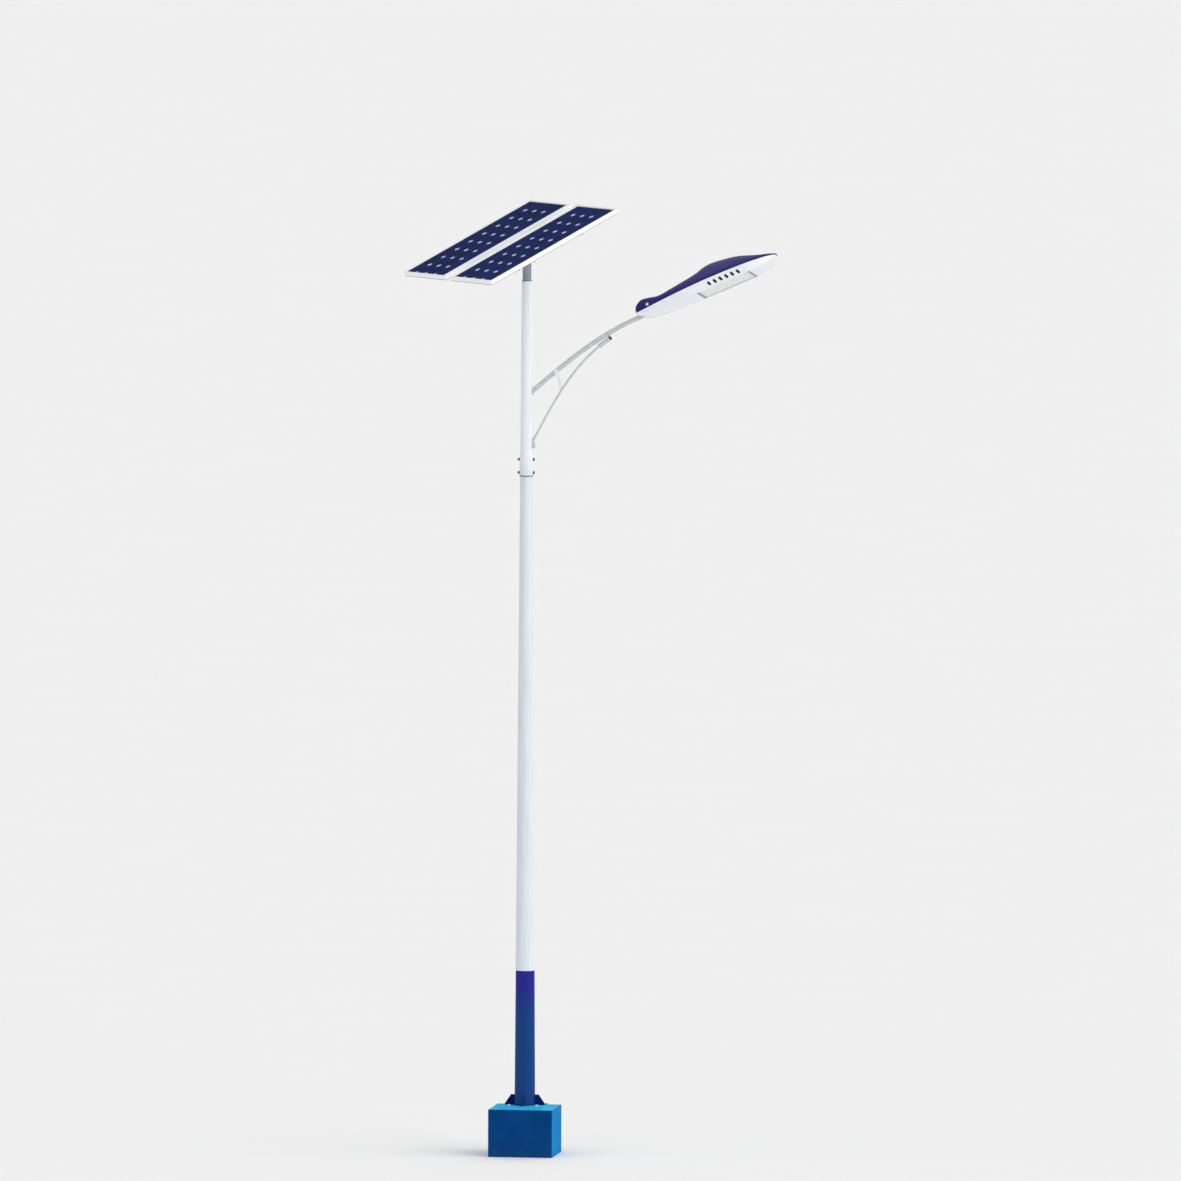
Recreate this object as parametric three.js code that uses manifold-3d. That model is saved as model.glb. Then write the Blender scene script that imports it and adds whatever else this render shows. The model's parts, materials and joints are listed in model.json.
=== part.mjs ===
// Solar street lamp: a battery cabinet that carries a two-part tapered pole, two photovoltaic modules on a
// turning and tilting mast head, and a cobra-head LED luminaire on a braced side arm.
// Millimetres, +Z up.  The origin is the middle of the cabinet's underside, on the ground.
// +X points along the arm, away from the pole; the cabinet's door is on the +Y side.
import * as THREE from 'three';
import { mergeVertices } from 'three/addons/utils/BufferGeometryUtils.js';
import Module from 'manifold-3d';

const wasm = await Module();
wasm.setup();

// ---------------------------------------------------------------- driving dimensions
const GAP = 0.3; // clearance kept between neighbouring pieces

const CABINET = { width: 468, height: 345, wall: 3, basePlate: 8, topPlate: 12, cableHoleRadius: 45 };
const DOOR = {
  width: 430, height: 310, middle: 172, depth: 14, skin: 3, openingWidth: 390, openingHeight: 285,
};
const LEG = { width: 38, thickness: 4, doorClearance: 8 };
const BATTERY = { length: 330, width: 172, height: 215, spacing: 4 };
const TERMINAL = { x: 135, y: 145, radius: 8, height: 9 };
const TRAY = { wall: 2, lip: 22, margin: 4 };
const STRAP = { width: 30, thickness: 4, overhang: 19, rodRadius: 4 };
const ANCHOR = { x: 205, y: 120, radius: 11 };
const CABLE_ENTRY = { x: 110, y: 206, radius: 18 };
const FLANGE = { width: 300, thickness: 16, boltSpacing: 200, boltRadius: 8, holeRadius: 60 };
const GUSSET = { reach: 148, height: 76, topWidth: 26, toe: 8, thickness: 8 };

const POLE_TOP = 6361; // height of the white pole's top edge above the ground
const LOWER_POLE = { bottomRadius: 75, topRadius: 44.7, top: 5085, wall: 3.5 };
const SLEEVE = { bottom: 4943, top: 5095, radius: 49.5, bore: 45.8 };
const UPPER_POLE = { shoulder: 5112, bottomRadius: 45.5, topRadius: 37, topBore: 32.4, wall: 3.6 };
const SLEEVE_BOLT = { radius: 6, heights: [4968, 5064] };
const LOCK_BOLT = { radius: 5, height: 6300 };

const ARM = { radius: 16.85, wall: 2.6, rootHeight: 5549, rootSlope: 41, spigotLength: 150 };
const BRACE = {
  radius: 8, rootReach: 38, rootHeight: 5181, rootSlope: 62,
  socketReach: 618, socketDrop: 146, socketRadius: 15.5, socketLength: 110, socketSlope: 37,
};
const STRUT = { width: 26, thickness: 6, rootReach: 216, footReach: 259 };

const MAST = { radius: 32, wall: 4, bottom: 6210, top: 6497, azimuth: 42 };
const TILT = { pivotHeight: 6556, angle: 24, boltRadius: 8, earSpread: 38, earThickness: 8 };
const MODULE = { length: 1195, width: 541, depth: 35, gap: 68, centre: -90 };
const RAIL = { size: 41, wall: 2.5, length: 940, spread: 300 };
const BEAM = { width: 60, height: 40, wall: 3, length: 760 };

const HEAD = { length: 1105, pitch: 23.5, roll: 13, wall: 3, seam: 26, reach: 823, height: 6105 };
const HEAD_WIDTH = { neck: 62, middle: 200, widest: 650, noseRoundness: 2.3 };
const WINDOW = { start: 480, end: 900, halfWidth: 132, ledge: 9, glass: 5 };
const VENTS = { count: 6, first: 600, pitch: 45.4, width: 19, height: 33, depth: 37, slant: 30 };
const COVER_HINGE = { x: 8, z: 8, radius: 4 };
const COVER_SCREW = { x: 106, z: 20, radius: 4, headRadius: 12, headHeight: 5, seat: 99, bossRadius: 14 };

// crown height and floor depth of the luminaire at distances from its neck: [distance, size]
const HEAD_CROWN = [[0, 22], [12, 49], [34, 65], [64, 79], [120, 73], [195, 57], [290, 65], [450, 84],
  [525, 96], [575, 112], [640, 121], [750, 111], [850, 93], [930, 66], [1000, 42], [1060, 27], [1105, 14]];
const HEAD_FLOOR = [[0, 14], [60, 46], [120, 57], [300, 57], [930, 57], [1000, 46], [1060, 26], [1105, 8]];

// ---------------------------------------------------------------- materials
function surface(color, roughness, metalness) {
  return new THREE.MeshStandardMaterial({ color, roughness, metalness });
}

const bluePaint = surface(0x0a3c7c, 0.45, 0.1);
const polePaint = surface(0xe8eef2, 0.4, 0.1);
const galvanised = surface(0xb9bdbf, 0.45, 0.8);
const greySteel = surface(0x7f8d9e, 0.5, 0.5);
const darkSteel = surface(0x3d4043, 0.5, 0.7);
const stainless = surface(0xc8ccd0, 0.3, 0.9);
const navyCover = surface(0x42446e, 0.35, 0.1);
const whiteCasting = surface(0xf0f2f5, 0.35, 0.1);
const anodised = surface(0xe6e8ea, 0.35, 0.7);
const solarGlass = surface(0x14235a, 0.15, 0.0);
const lensGlass = surface(0xdfe4e6, 0.1, 0.0);
const aluminium = surface(0xaab0b5, 0.45, 0.9);
const blackPlastic = surface(0x1c1d1f, 0.6, 0.0);
const greyPlastic = surface(0x6c7176, 0.55, 0.0);
const redPlastic = surface(0xa02020, 0.5, 0.0);
const rubber = surface(0x151515, 0.9, 0.0);

// ---------------------------------------------------------------- geometry helpers
const radians = THREE.MathUtils.degToRad;

// keeps only the positions and merges the shared corners, so the mesh is closed
function weld(geometry) {
  for (const name of Object.keys(geometry.attributes)) {
    if (name !== 'position') geometry.deleteAttribute(name);
  }
  return mergeVertices(geometry, 1e-4);
}

function solid(geometry) {
  const welded = weld(geometry.clone());
  const vertProperties = new Float32Array(welded.attributes.position.array);
  const triVerts = new Uint32Array(welded.index.array);
  return new wasm.Manifold(new wasm.Mesh({ numProp: 3, vertProperties, triVerts }));
}

function geometryOf(manifold) {
  const mesh = manifold.getMesh();
  const geometry = new THREE.BufferGeometry();
  geometry.setAttribute('position', new THREE.BufferAttribute(new Float32Array(mesh.vertProperties), 3));
  geometry.setIndex(new THREE.BufferAttribute(new Uint32Array(mesh.triVerts), 1));
  return geometry;
}

function cut(body, ...tools) {
  return geometryOf(tools.reduce((rest, tool) => rest.subtract(solid(tool)), solid(body)));
}

function join(body, ...others) {
  return geometryOf(others.reduce((sum, other) => sum.add(solid(other)), solid(body)));
}

function overlap(body, other) {
  return geometryOf(solid(body).intersect(solid(other)));
}

// a box between two corners
function block(low, high) {
  const size = high.map((value, axis) => value - low[axis]);
  const middle = high.map((value, axis) => (value + low[axis]) / 2);
  return new THREE.BoxGeometry(...size).translate(...middle);
}

// a round bar between two points
function bar(from, to, radius, sides = 16) {
  const start = new THREE.Vector3(...from);
  const along = new THREE.Vector3(...to).sub(start);
  const up = new THREE.Vector3(0, 1, 0);
  const turn = new THREE.Quaternion().setFromUnitVectors(up, along.clone().normalize());
  const middle = start.clone().addScaledVector(along, 0.5);
  return new THREE.CylinderGeometry(radius, radius, along.length(), sides)
    .applyQuaternion(turn).translate(middle.x, middle.y, middle.z);
}

// a body of revolution about the Z axis from [radius, height] pairs that close on themselves
function turned(profile, sides = 28) {
  const points = [...profile, profile[0]].map(([radius, height]) => new THREE.Vector2(radius, height));
  return new THREE.LatheGeometry(points, sides).rotateX(Math.PI / 2);
}

function outline(points) {
  return new THREE.Shape(points.map(([x, y]) => new THREE.Vector2(x, y)));
}

function extruded(shape, depth) {
  return new THREE.ExtrudeGeometry(shape, { depth, bevelEnabled: false, curveSegments: 10 });
}

// a pipe of annular section along a curve
function pipe(curve, radius, bore, steps, sides = 14) {
  const ring = new THREE.Shape().absarc(0, 0, radius, 0, 2 * Math.PI);
  if (bore > 0) ring.holes.push(new THREE.Path().absarc(0, 0, bore, 0, 2 * Math.PI, true));
  const settings = { steps, extrudePath: curve, bevelEnabled: false, curveSegments: sides / 2 };
  return new THREE.ExtrudeGeometry(ring, settings);
}

// a hexagon-head bolt along an axis: the head sits at `seat` and the shank runs to `end`
function hexBolt(seat, end, radius, headFlats, headHeight) {
  const shankDirection = new THREE.Vector3(...end).sub(new THREE.Vector3(...seat)).normalize();
  const headEnd = new THREE.Vector3(...seat).addScaledVector(shankDirection, -headHeight);
  const head = bar(headEnd.toArray(), seat, headFlats / Math.sqrt(3), 6);
  const shankStart = new THREE.Vector3(...seat).addScaledVector(shankDirection, -1);
  return join(head, bar(shankStart.toArray(), end, radius));
}

// a smooth value through [position, value] pairs
function smoothValue(pairs, position) {
  const last = pairs.length - 2;
  const index = Math.min(last, Math.max(0, pairs.findIndex(([x]) => x > position) - 1));
  const [x1, y1] = pairs[index];
  const [x2, y2] = pairs[index + 1];
  const [x0, y0] = pairs[Math.max(0, index - 1)];
  const [x3, y3] = pairs[Math.min(last + 1, index + 2)];
  const span = x2 - x1;
  const t = Math.min(1, Math.max(0, (position - x1) / span));
  const startSlope = ((y2 - y0) / (x2 - x0)) * span;
  const endSlope = ((y3 - y1) / (x3 - x1)) * span;
  const bend = (2 * t ** 3 - 3 * t ** 2 + 1) * y1 + (t ** 3 - 2 * t ** 2 + t) * startSlope;
  return bend + (-2 * t ** 3 + 3 * t ** 2) * y2 + (t ** 3 - t ** 2) * endSlope;
}

// a closed skin over equal-length rings of points, with flat ends
function loft(rings) {
  const count = rings[0].length;
  const positions = rings.flat(2);
  const indices = [];
  for (let ring = 0; ring < rings.length - 1; ring += 1) {
    for (let point = 0; point < count; point += 1) {
      const here = ring * count + point;
      const beside = ring * count + ((point + 1) % count);
      indices.push(here, beside, here + count, beside, beside + count, here + count);
    }
  }
  const endRing = (rings.length - 1) * count;
  for (let point = 1; point < count - 1; point += 1) {
    indices.push(0, point + 1, point, endRing, endRing + point, endRing + point + 1);
  }
  const geometry = new THREE.BufferGeometry();
  geometry.setAttribute('position', new THREE.Float32BufferAttribute(positions, 3));
  geometry.setIndex(indices);
  return geometry;
}

function addPiece(parent, name, geometry, material) {
  const mesh = new THREE.Mesh(weld(geometry), material);
  mesh.name = name;
  parent.add(mesh);
}

const lamp = new THREE.Group();

// ---------------------------------------------------------------- battery cabinet
const halfWidth = CABINET.width / 2;
const rearFace = halfWidth;
const boltHalf = FLANGE.boltSpacing / 2;
const flangeBottom = CABINET.height + GAP;
const flangeTop = flangeBottom + FLANGE.thickness;
const corners = [[-1, -1], [1, -1], [1, 1], [-1, 1]];
const boltPlaces = corners.map(([x, y]) => [x * boltHalf, y * boltHalf]);

const flangeBoltHoles = (low, high) => boltPlaces.map(([x, y]) =>
  bar([x, y, low], [x, y, high], FLANGE.boltRadius + 0.4));

// the door hangs on a vertical pin beside its left edge
const doorHinge = { x: -222, y: rearFace + 9, knuckle: 6, pin: 3, low: 40, high: 296 };
const doorKnuckles = [[60, 100], [235, 275]];

function hingeKnuckle(low, high) {
  const { x, y, knuckle } = doorHinge;
  return bar([x, y, low], [x, y, high], knuckle);
}

function cabinetShell() {
  const { width, height, wall, cableHoleRadius } = CABINET;
  const { openingWidth, openingHeight, middle } = DOOR;
  const inside = halfWidth - wall;
  const opening = block([-openingWidth / 2, 0, middle - openingHeight / 2],
    [openingWidth / 2, width, middle + openingHeight / 2]);
  const walls = cut(
    block([-halfWidth, -halfWidth, 0], [halfWidth, halfWidth, height]),
    block([-inside, -inside, -1], [inside, inside, height - wall]),
    opening,
    bar([0, 0, height - 2 * wall], [0, 0, height + 1], cableHoleRadius),
    ...flangeBoltHoles(height - 2 * wall, height + 1),
  );
  const lugs = [];
  for (const [low, high] of doorKnuckles) {
    for (const [bottom, top] of [[low - 18, low - 0.5], [high + 0.5, high + 18]]) {
      lugs.push(hingeKnuckle(bottom, top));
      lugs.push(block([doorHinge.x - 6, rearFace - 1, bottom], [doorHinge.x + 4, doorHinge.y, top]));
    }
  }
  const pinHole = bar([doorHinge.x, doorHinge.y, 0], [doorHinge.x, doorHinge.y, height], doorHinge.pin + GAP);
  return cut(join(walls, ...lugs), pinHole);
}

function cabinetBasePlate() {
  const edge = halfWidth - CABINET.wall - GAP;
  const thickness = CABINET.basePlate;
  const hole = (x, y, radius) => bar([x, y, -1], [x, y, thickness + 1], radius);
  const anchorHoles = corners.map(([x, y]) => hole(x * ANCHOR.x, y * ANCHOR.y, ANCHOR.radius));
  const cableEntry = hole(CABLE_ENTRY.x, CABLE_ENTRY.y, CABLE_ENTRY.radius);
  return cut(block([-edge, -edge, 0], [edge, edge, thickness]), cableEntry, ...anchorHoles);
}

// a thick top plate on four angle-iron legs, which carries the pole
function cabinetFrame() {
  const top = CABINET.height - CABINET.wall - GAP;
  const underside = top - CABINET.topPlate;
  const edge = halfWidth - CABINET.wall - 4;
  const foot = CABINET.basePlate + GAP;
  const { width: leg, thickness: iron, doorClearance } = LEG;
  const rear = edge - doorClearance;
  const parts = [];
  for (const side of [-1, 1]) {
    for (const [outerY, innerY] of [[-edge, -edge + leg], [rear, rear - leg]]) {
      const [lowY, highY] = [Math.min(outerY, innerY), Math.max(outerY, innerY)];
      const [lowX, highX] = side < 0 ? [-edge, -edge + leg] : [edge - leg, edge];
      const webX = side < 0 ? [lowX, lowX + iron] : [highX - iron, highX];
      const webY = outerY < innerY ? [lowY, lowY + iron] : [highY - iron, highY];
      parts.push(block([webX[0], lowY, foot], [webX[1], highY, underside + 1]));
      parts.push(block([lowX, webY[0], foot], [highX, webY[1], underside + 1]));
    }
  }
  const plate = cut(
    block([-edge, -edge, underside], [edge, edge, top]),
    bar([0, 0, underside - 1], [0, 0, top + 1], CABINET.cableHoleRadius),
    ...flangeBoltHoles(underside - 1, top + 1),
  );
  return join(plate, ...parts);
}

const batteryFloor = CABINET.basePlate + GAP + TRAY.wall + GAP;

function batteryTray() {
  const { wall, lip, margin } = TRAY;
  const bottom = CABINET.basePlate + GAP;
  const halfX = BATTERY.length / 2 + margin;
  const halfY = BATTERY.width + BATTERY.spacing / 2 + margin;
  return cut(
    block([-halfX, -halfY, bottom], [halfX, halfY, bottom + lip]),
    block([-halfX + wall, -halfY + wall, bottom + wall], [halfX - wall, halfY - wall, bottom + lip + 1]),
  );
}

function battery(side) {
  const inner = BATTERY.spacing / 2;
  const [lowY, highY] = side < 0 ? [-BATTERY.width - inner, -inner] : [inner, BATTERY.width + inner];
  const halfLength = BATTERY.length / 2;
  const top = batteryFloor + BATTERY.height;
  const caseBox = block([-halfLength, lowY, batteryFloor], [halfLength, highY, top]);
  const { x, y, radius, height } = TERMINAL;
  const terminals = [-x, x].map((end) =>
    bar([end, side * y, top - 1], [end, side * y, top + height], radius));
  return join(caseBox, ...terminals);
}

// a bar across both batteries with two rods down to the tray
function batteryStrap() {
  const { width, thickness, overhang, rodRadius } = STRAP;
  const bottom = batteryFloor + BATTERY.height + GAP;
  const foot = CABINET.basePlate + GAP;
  const end = BATTERY.width + BATTERY.spacing / 2 + overhang;
  const rodPlace = end - 6;
  const rods = [-rodPlace, rodPlace].map((y) =>
    bar([0, y, foot], [0, y, bottom + thickness / 2], rodRadius, 12));
  return join(block([-width / 2, -end, bottom], [width / 2, end, bottom + thickness]), ...rods);
}

const controllerBox = { low: [-75, 90, 262], high: [75, 130, 329] };
const buttonSpot = { x: 52, z: 280, radius: 6, depth: 4 };

function chargeController() {
  const { low, high } = controllerBox;
  const { x, z, radius, depth } = buttonSpot;
  const pocket = bar([x, high[1] - depth - 2, z], [x, high[1] + 1, z], radius + GAP);
  return cut(block(low, high), pocket);
}

function controllerButton() {
  const { x, z, radius, depth } = buttonSpot;
  const face = controllerBox.high[1];
  return bar([x, face - depth, z], [x, face + 3, z], radius);
}

addPiece(lamp, 'cabinet_shell', cabinetShell(), bluePaint);
addPiece(lamp, 'cabinet_base_plate', cabinetBasePlate(), galvanised);
addPiece(lamp, 'cabinet_frame', cabinetFrame(), galvanised);
addPiece(lamp, 'battery_tray', batteryTray(), galvanised);
addPiece(lamp, 'battery_1', battery(-1), greyPlastic);
addPiece(lamp, 'battery_2', battery(1), greyPlastic);
addPiece(lamp, 'battery_strap', batteryStrap(), galvanised);
addPiece(lamp, 'charge_controller', chargeController(), aluminium);
addPiece(lamp, 'controller_button', controllerButton(), redPlastic);

// ---------------------------------------------------------------- cabinet door
const lockSpot = { x: 178, z: DOOR.middle, barrel: 11, knob: 16 };

function cabinetDoor() {
  const { width, height, middle, depth, skin } = DOOR;
  const inner = rearFace + 2;
  const outer = inner + depth;
  const [bottom, top] = [middle - height / 2, middle + height / 2];
  const pan = cut(
    block([-width / 2, inner, bottom], [width / 2, outer, top]),
    block([-width / 2 + 2, inner - 1, bottom + 2], [width / 2 - 2, outer - skin, top - 2]),
  );
  const knuckles = doorKnuckles.flatMap(([low, high]) => [
    hingeKnuckle(low, high),
    block([doorHinge.x, doorHinge.y - 3, low], [-width / 2 + 1, doorHinge.y + 3, high]),
  ]);
  return cut(
    join(pan, ...knuckles),
    bar([doorHinge.x, doorHinge.y, bottom], [doorHinge.x, doorHinge.y, top], doorHinge.pin + GAP),
    bar([lockSpot.x, inner, lockSpot.z], [lockSpot.x, outer + 1, lockSpot.z], lockSpot.barrel + 0.4),
  );
}

function doorGasket() {
  const inner = rearFace + GAP;
  const outer = rearFace + 2 + DOOR.depth - DOOR.skin - GAP;
  const ring = 12;
  const [halfX, halfZ] = [DOOR.openingWidth / 2 + ring + 1, DOOR.openingHeight / 2 + ring - 2];
  const [bottom, top] = [DOOR.middle - halfZ, DOOR.middle + halfZ];
  return cut(
    block([-halfX, inner, bottom], [halfX, outer, top]),
    block([-halfX + ring, inner - 1, bottom + ring], [halfX - ring, outer + 1, top - ring]),
  );
}

// key barrel, knob and cam of the quarter-turn lock; the cam hangs down when it is unlocked
function doorLock() {
  const { x, z, barrel, knob } = lockSpot;
  const face = rearFace + 2 + DOOR.depth + GAP;
  const camFront = rearFace - 6;
  const keySlot = block([x - 1.5, face + 8, z - 7], [x + 1.5, face + 13, z + 7]);
  return cut(
    join(
      bar([x, face, z], [x, face + 12, z], knob, 24),
      bar([x, camFront - 4, z], [x, face + 1, z], barrel),
      block([x - 8, camFront - 4, z - 36], [x + 8, camFront, z]),
    ),
    keySlot,
  );
}

function doorHingePin() {
  const { x, y, pin, low, high } = doorHinge;
  return bar([x, y, low], [x, y, high], pin);
}

addPiece(lamp, 'cabinet_door', cabinetDoor(), bluePaint);
addPiece(lamp, 'door_gasket', doorGasket(), rubber);
addPiece(lamp, 'door_lock', doorLock(), stainless);
addPiece(lamp, 'door_hinge_pin', doorHingePin(), stainless);

// ---------------------------------------------------------------- pole
const poleBottom = flangeTop + GAP;

function poleFlange() {
  const edge = FLANGE.width / 2;
  return cut(
    block([-edge, -edge, flangeBottom], [edge, edge, flangeTop]),
    bar([0, 0, flangeBottom - 1], [0, 0, flangeTop + 1], FLANGE.holeRadius, 32),
    ...flangeBoltHoles(flangeBottom - 1, flangeTop + 1),
  );
}

function gusset(direction) {
  const { reach, height, topWidth, toe, thickness } = GUSSET;
  const root = LOWER_POLE.bottomRadius + GAP;
  const shape = outline([[root, 0], [reach, 0], [reach, toe], [root + topWidth, height], [root, height]]);
  return extruded(shape, thickness)
    .translate(0, 0, -thickness / 2).rotateX(Math.PI / 2).translate(0, 0, poleBottom)
    .rotateZ(direction * Math.PI / 2);
}

const sleeveBoltHoles = () => SLEEVE_BOLT.heights.map((height) =>
  bar([-80, 0, height], [80, 0, height], SLEEVE_BOLT.radius + GAP));

function lowerPole() {
  const { bottomRadius, topRadius, top, wall } = LOWER_POLE;
  const tube = turned([[bottomRadius, poleBottom], [topRadius, top], [topRadius - wall, top],
    [bottomRadius - wall, poleBottom]]);
  return cut(tube, ...sleeveBoltHoles());
}

// the upper pole with the swaged sleeve that slips over the lower one
function upperPole() {
  const { bottom, top, radius, bore } = SLEEVE;
  const { shoulder, bottomRadius, topRadius, topBore, wall } = UPPER_POLE;
  const tube = turned([[radius, bottom], [radius, top], [bottomRadius, shoulder], [topRadius, POLE_TOP],
    [topBore, POLE_TOP], [bottomRadius - wall, shoulder], [bore, top], [bore, bottom]]);
  const wireHole = bar([20, 0, ARM.rootHeight - 20], [60, 0, ARM.rootHeight + 15], 12);
  const lockHole = bar([0, 20, LOCK_BOLT.height], [0, 60, LOCK_BOLT.height], LOCK_BOLT.radius + GAP);
  return cut(tube, ...sleeveBoltHoles(), wireHole, lockHole);
}

function sleeveBolt(height) {
  const seat = SLEEVE.radius + 0.5;
  return hexBolt([seat, 0, height], [-seat - 14, 0, height], SLEEVE_BOLT.radius, 19, 8);
}

function sleeveNut(height) {
  const seat = -SLEEVE.radius - 0.5;
  return cut(
    bar([seat, 0, height], [seat - 10, 0, height], 19 / Math.sqrt(3), 6),
    bar([seat + 1, 0, height], [seat - 20, 0, height], SLEEVE_BOLT.radius + GAP),
  );
}

// the bolt that presses on the mast stub inside the pole
function azimuthLockBolt() {
  const { height, radius } = LOCK_BOLT;
  return hexBolt([0, UPPER_POLE.topRadius + 1.5, height], [0, MAST.radius + GAP, height], radius, 16, 7);
}

addPiece(lamp, 'pole_flange', poleFlange(), bluePaint);
for (let direction = 0; direction < 4; direction += 1) {
  addPiece(lamp, `gusset_${direction + 1}`, gusset(direction), bluePaint);
}
boltPlaces.forEach(([x, y], index) => {
  const seat = [x, y, flangeTop + GAP];
  const end = [x, y, CABINET.height - 14];
  addPiece(lamp, `flange_bolt_${index + 1}`, hexBolt(seat, end, FLANGE.boltRadius, 24, 10), stainless);
});
addPiece(lamp, 'lower_pole', lowerPole(), polePaint);
addPiece(lamp, 'upper_pole', upperPole(), polePaint);
SLEEVE_BOLT.heights.forEach((height, index) => {
  addPiece(lamp, `sleeve_bolt_${index + 1}`, sleeveBolt(height), darkSteel);
  addPiece(lamp, `sleeve_nut_${index + 1}`, sleeveNut(height), darkSteel);
});
addPiece(lamp, 'azimuth_lock_bolt', azimuthLockBolt(), stainless);

// ---------------------------------------------------------------- arm and brace
const headPitch = radians(HEAD.pitch);
const spigotStart = new THREE.Vector3(HEAD.reach, 0, HEAD.height);
const spigotAxis = new THREE.Vector3(Math.cos(headPitch), 0, Math.sin(headPitch));

// a curve in the lamp's XZ plane that leaves `from` at one slope and reaches `to` at another
function bentLine(from, to, startSlope, endSlope) {
  const reach = from.distanceTo(to) / 3;
  const leave = new THREE.Vector3(Math.cos(radians(startSlope)), 0, Math.sin(radians(startSlope)));
  const arrive = new THREE.Vector3(Math.cos(radians(endSlope)), 0, Math.sin(radians(endSlope)));
  return new THREE.CubicBezierCurve3(from, from.clone().addScaledVector(leave, reach),
    to.clone().addScaledVector(arrive, -reach), to);
}

const armRoot = new THREE.Vector3(30, 0, ARM.rootHeight);
const armBend = bentLine(armRoot, spigotStart, ARM.rootSlope, HEAD.pitch);
const braceRoot = new THREE.Vector3(BRACE.rootReach, 0, BRACE.rootHeight);
const socketTip = new THREE.Vector3(BRACE.socketReach, 0, HEAD.height - BRACE.socketDrop);
const socketSlope = radians(BRACE.socketSlope);
const socketAxis = new THREE.Vector3(Math.cos(socketSlope), 0, Math.sin(socketSlope));
const braceTip = socketTip.clone().addScaledVector(socketAxis, -BRACE.socketLength + 40);
const braceBend = bentLine(braceRoot, braceTip, BRACE.rootSlope, BRACE.socketSlope);

// everything inside this cone is the pole; arm and brace are coped against it
function poleCore() {
  const { shoulder, bottomRadius, topRadius } = UPPER_POLE;
  return turned([[0, SLEEVE.top], [bottomRadius + GAP, SLEEVE.top], [bottomRadius + GAP, shoulder],
    [topRadius + GAP, POLE_TOP], [0, POLE_TOP]], 32);
}

function armTube() {
  const path = new THREE.CurvePath();
  path.add(armBend);
  const spigotEnd = spigotStart.clone().addScaledVector(spigotAxis, ARM.spigotLength);
  path.add(new THREE.LineCurve3(spigotStart, spigotEnd));
  return cut(pipe(path, ARM.radius, ARM.radius - ARM.wall, 18), poleCore());
}

function armBrace() {
  return cut(pipe(braceBend, BRACE.radius, 0, 14, 10), poleCore());
}

// the brace with clearance round it, to be cut from its neighbours
function braceRoom() {
  return pipe(braceBend, BRACE.radius + 0.6, 0, 14, 10);
}

// the short tube under the arm that the brace's upper end is welded into
function braceSocket() {
  const along = (distance) => socketTip.clone().addScaledVector(socketAxis, distance).toArray();
  const sleeve = bar(along(-BRACE.socketLength), along(0), BRACE.socketRadius);
  const bore = bar(along(-BRACE.socketLength - 5), along(5), BRACE.socketRadius - 2.5);
  return cut(sleeve, bore);
}

// flat bar that props the arm off the brace
function braceStrut() {
  const { width, thickness, rootReach, footReach } = STRUT;
  const top = new THREE.Vector3(rootReach, 0, 5712);
  const foot = new THREE.Vector3(footReach, 0, 5566);
  const length = top.distanceTo(foot);
  const lean = Math.atan2(foot.x - top.x, top.z - foot.z);
  const flat = new THREE.BoxGeometry(width, thickness, length).rotateY(-lean)
    .translate((top.x + foot.x) / 2, 0, (top.z + foot.z) / 2);
  const braceSlope = radians(58);
  const underBrace = new THREE.BoxGeometry(200, 40, 60).translate(0, 0, -30).rotateY(-braceSlope)
    .translate(foot.x, 0, foot.z);
  return cut(flat, pipe(armBend, ARM.radius + 1, 0, 18), braceRoom(), underBrace);
}

// small plate welded to the pole that the brace's lower end sits on
function braceLug() {
  const plate = block([30, -20, 5146], [62, 20, 5214]);
  return cut(plate, poleCore(), braceRoom(), block([54, -30, 5186], [80, 30, 5220]));
}

addPiece(lamp, 'arm_tube', armTube(), galvanised);
addPiece(lamp, 'arm_brace', armBrace(), galvanised);
addPiece(lamp, 'brace_socket', braceSocket(), galvanised);
addPiece(lamp, 'brace_strut', braceStrut(), polePaint);
addPiece(lamp, 'brace_lug', braceLug(), galvanised);

// ---------------------------------------------------------------- mast head: turns about Z
const mastHead = new THREE.Group();
mastHead.rotation.z = radians(MAST.azimuth);
lamp.add(mastHead);

function mastStub() {
  const bore = MAST.radius - MAST.wall;
  return turned([[MAST.radius, MAST.bottom], [MAST.radius, MAST.top], [bore, MAST.top], [bore, MAST.bottom]]);
}

function tiltClevis() {
  const bottom = MAST.top + GAP;
  const { pivotHeight, earSpread, earThickness, boltRadius } = TILT;
  const ears = [-1, 1].map((side) => {
    const inner = side * earSpread;
    const outer = side * (earSpread + earThickness);
    const [low, high] = [Math.min(inner, outer), Math.max(inner, outer)];
    return join(
      block([-28, low, bottom], [28, high, pivotHeight]),
      bar([0, low, pivotHeight], [0, high, pivotHeight], 28, 28),
    );
  });
  const foot = block([-42, -50, bottom], [42, 50, bottom + 8]);
  return cut(join(foot, ...ears), bar([0, -80, pivotHeight], [0, 80, pivotHeight], boltRadius + GAP));
}

function tiltBolt() {
  const seat = TILT.earSpread + TILT.earThickness + 0.4;
  return hexBolt([0, -seat, TILT.pivotHeight], [0, seat + 18, TILT.pivotHeight], TILT.boltRadius, 24, 10);
}

function tiltNut() {
  const seat = TILT.earSpread + TILT.earThickness + 0.4;
  const { pivotHeight, boltRadius } = TILT;
  return cut(
    bar([0, seat, pivotHeight], [0, seat + 13, pivotHeight], 24 / Math.sqrt(3), 6),
    bar([0, seat - 1, pivotHeight], [0, seat + 20, pivotHeight], boltRadius + GAP),
  );
}

addPiece(mastHead, 'mast_stub', mastStub(), greySteel);
addPiece(mastHead, 'tilt_clevis', tiltClevis(), galvanised);
addPiece(mastHead, 'tilt_bolt', tiltBolt(), stainless);
addPiece(mastHead, 'tilt_nut', tiltNut(), stainless);

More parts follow.
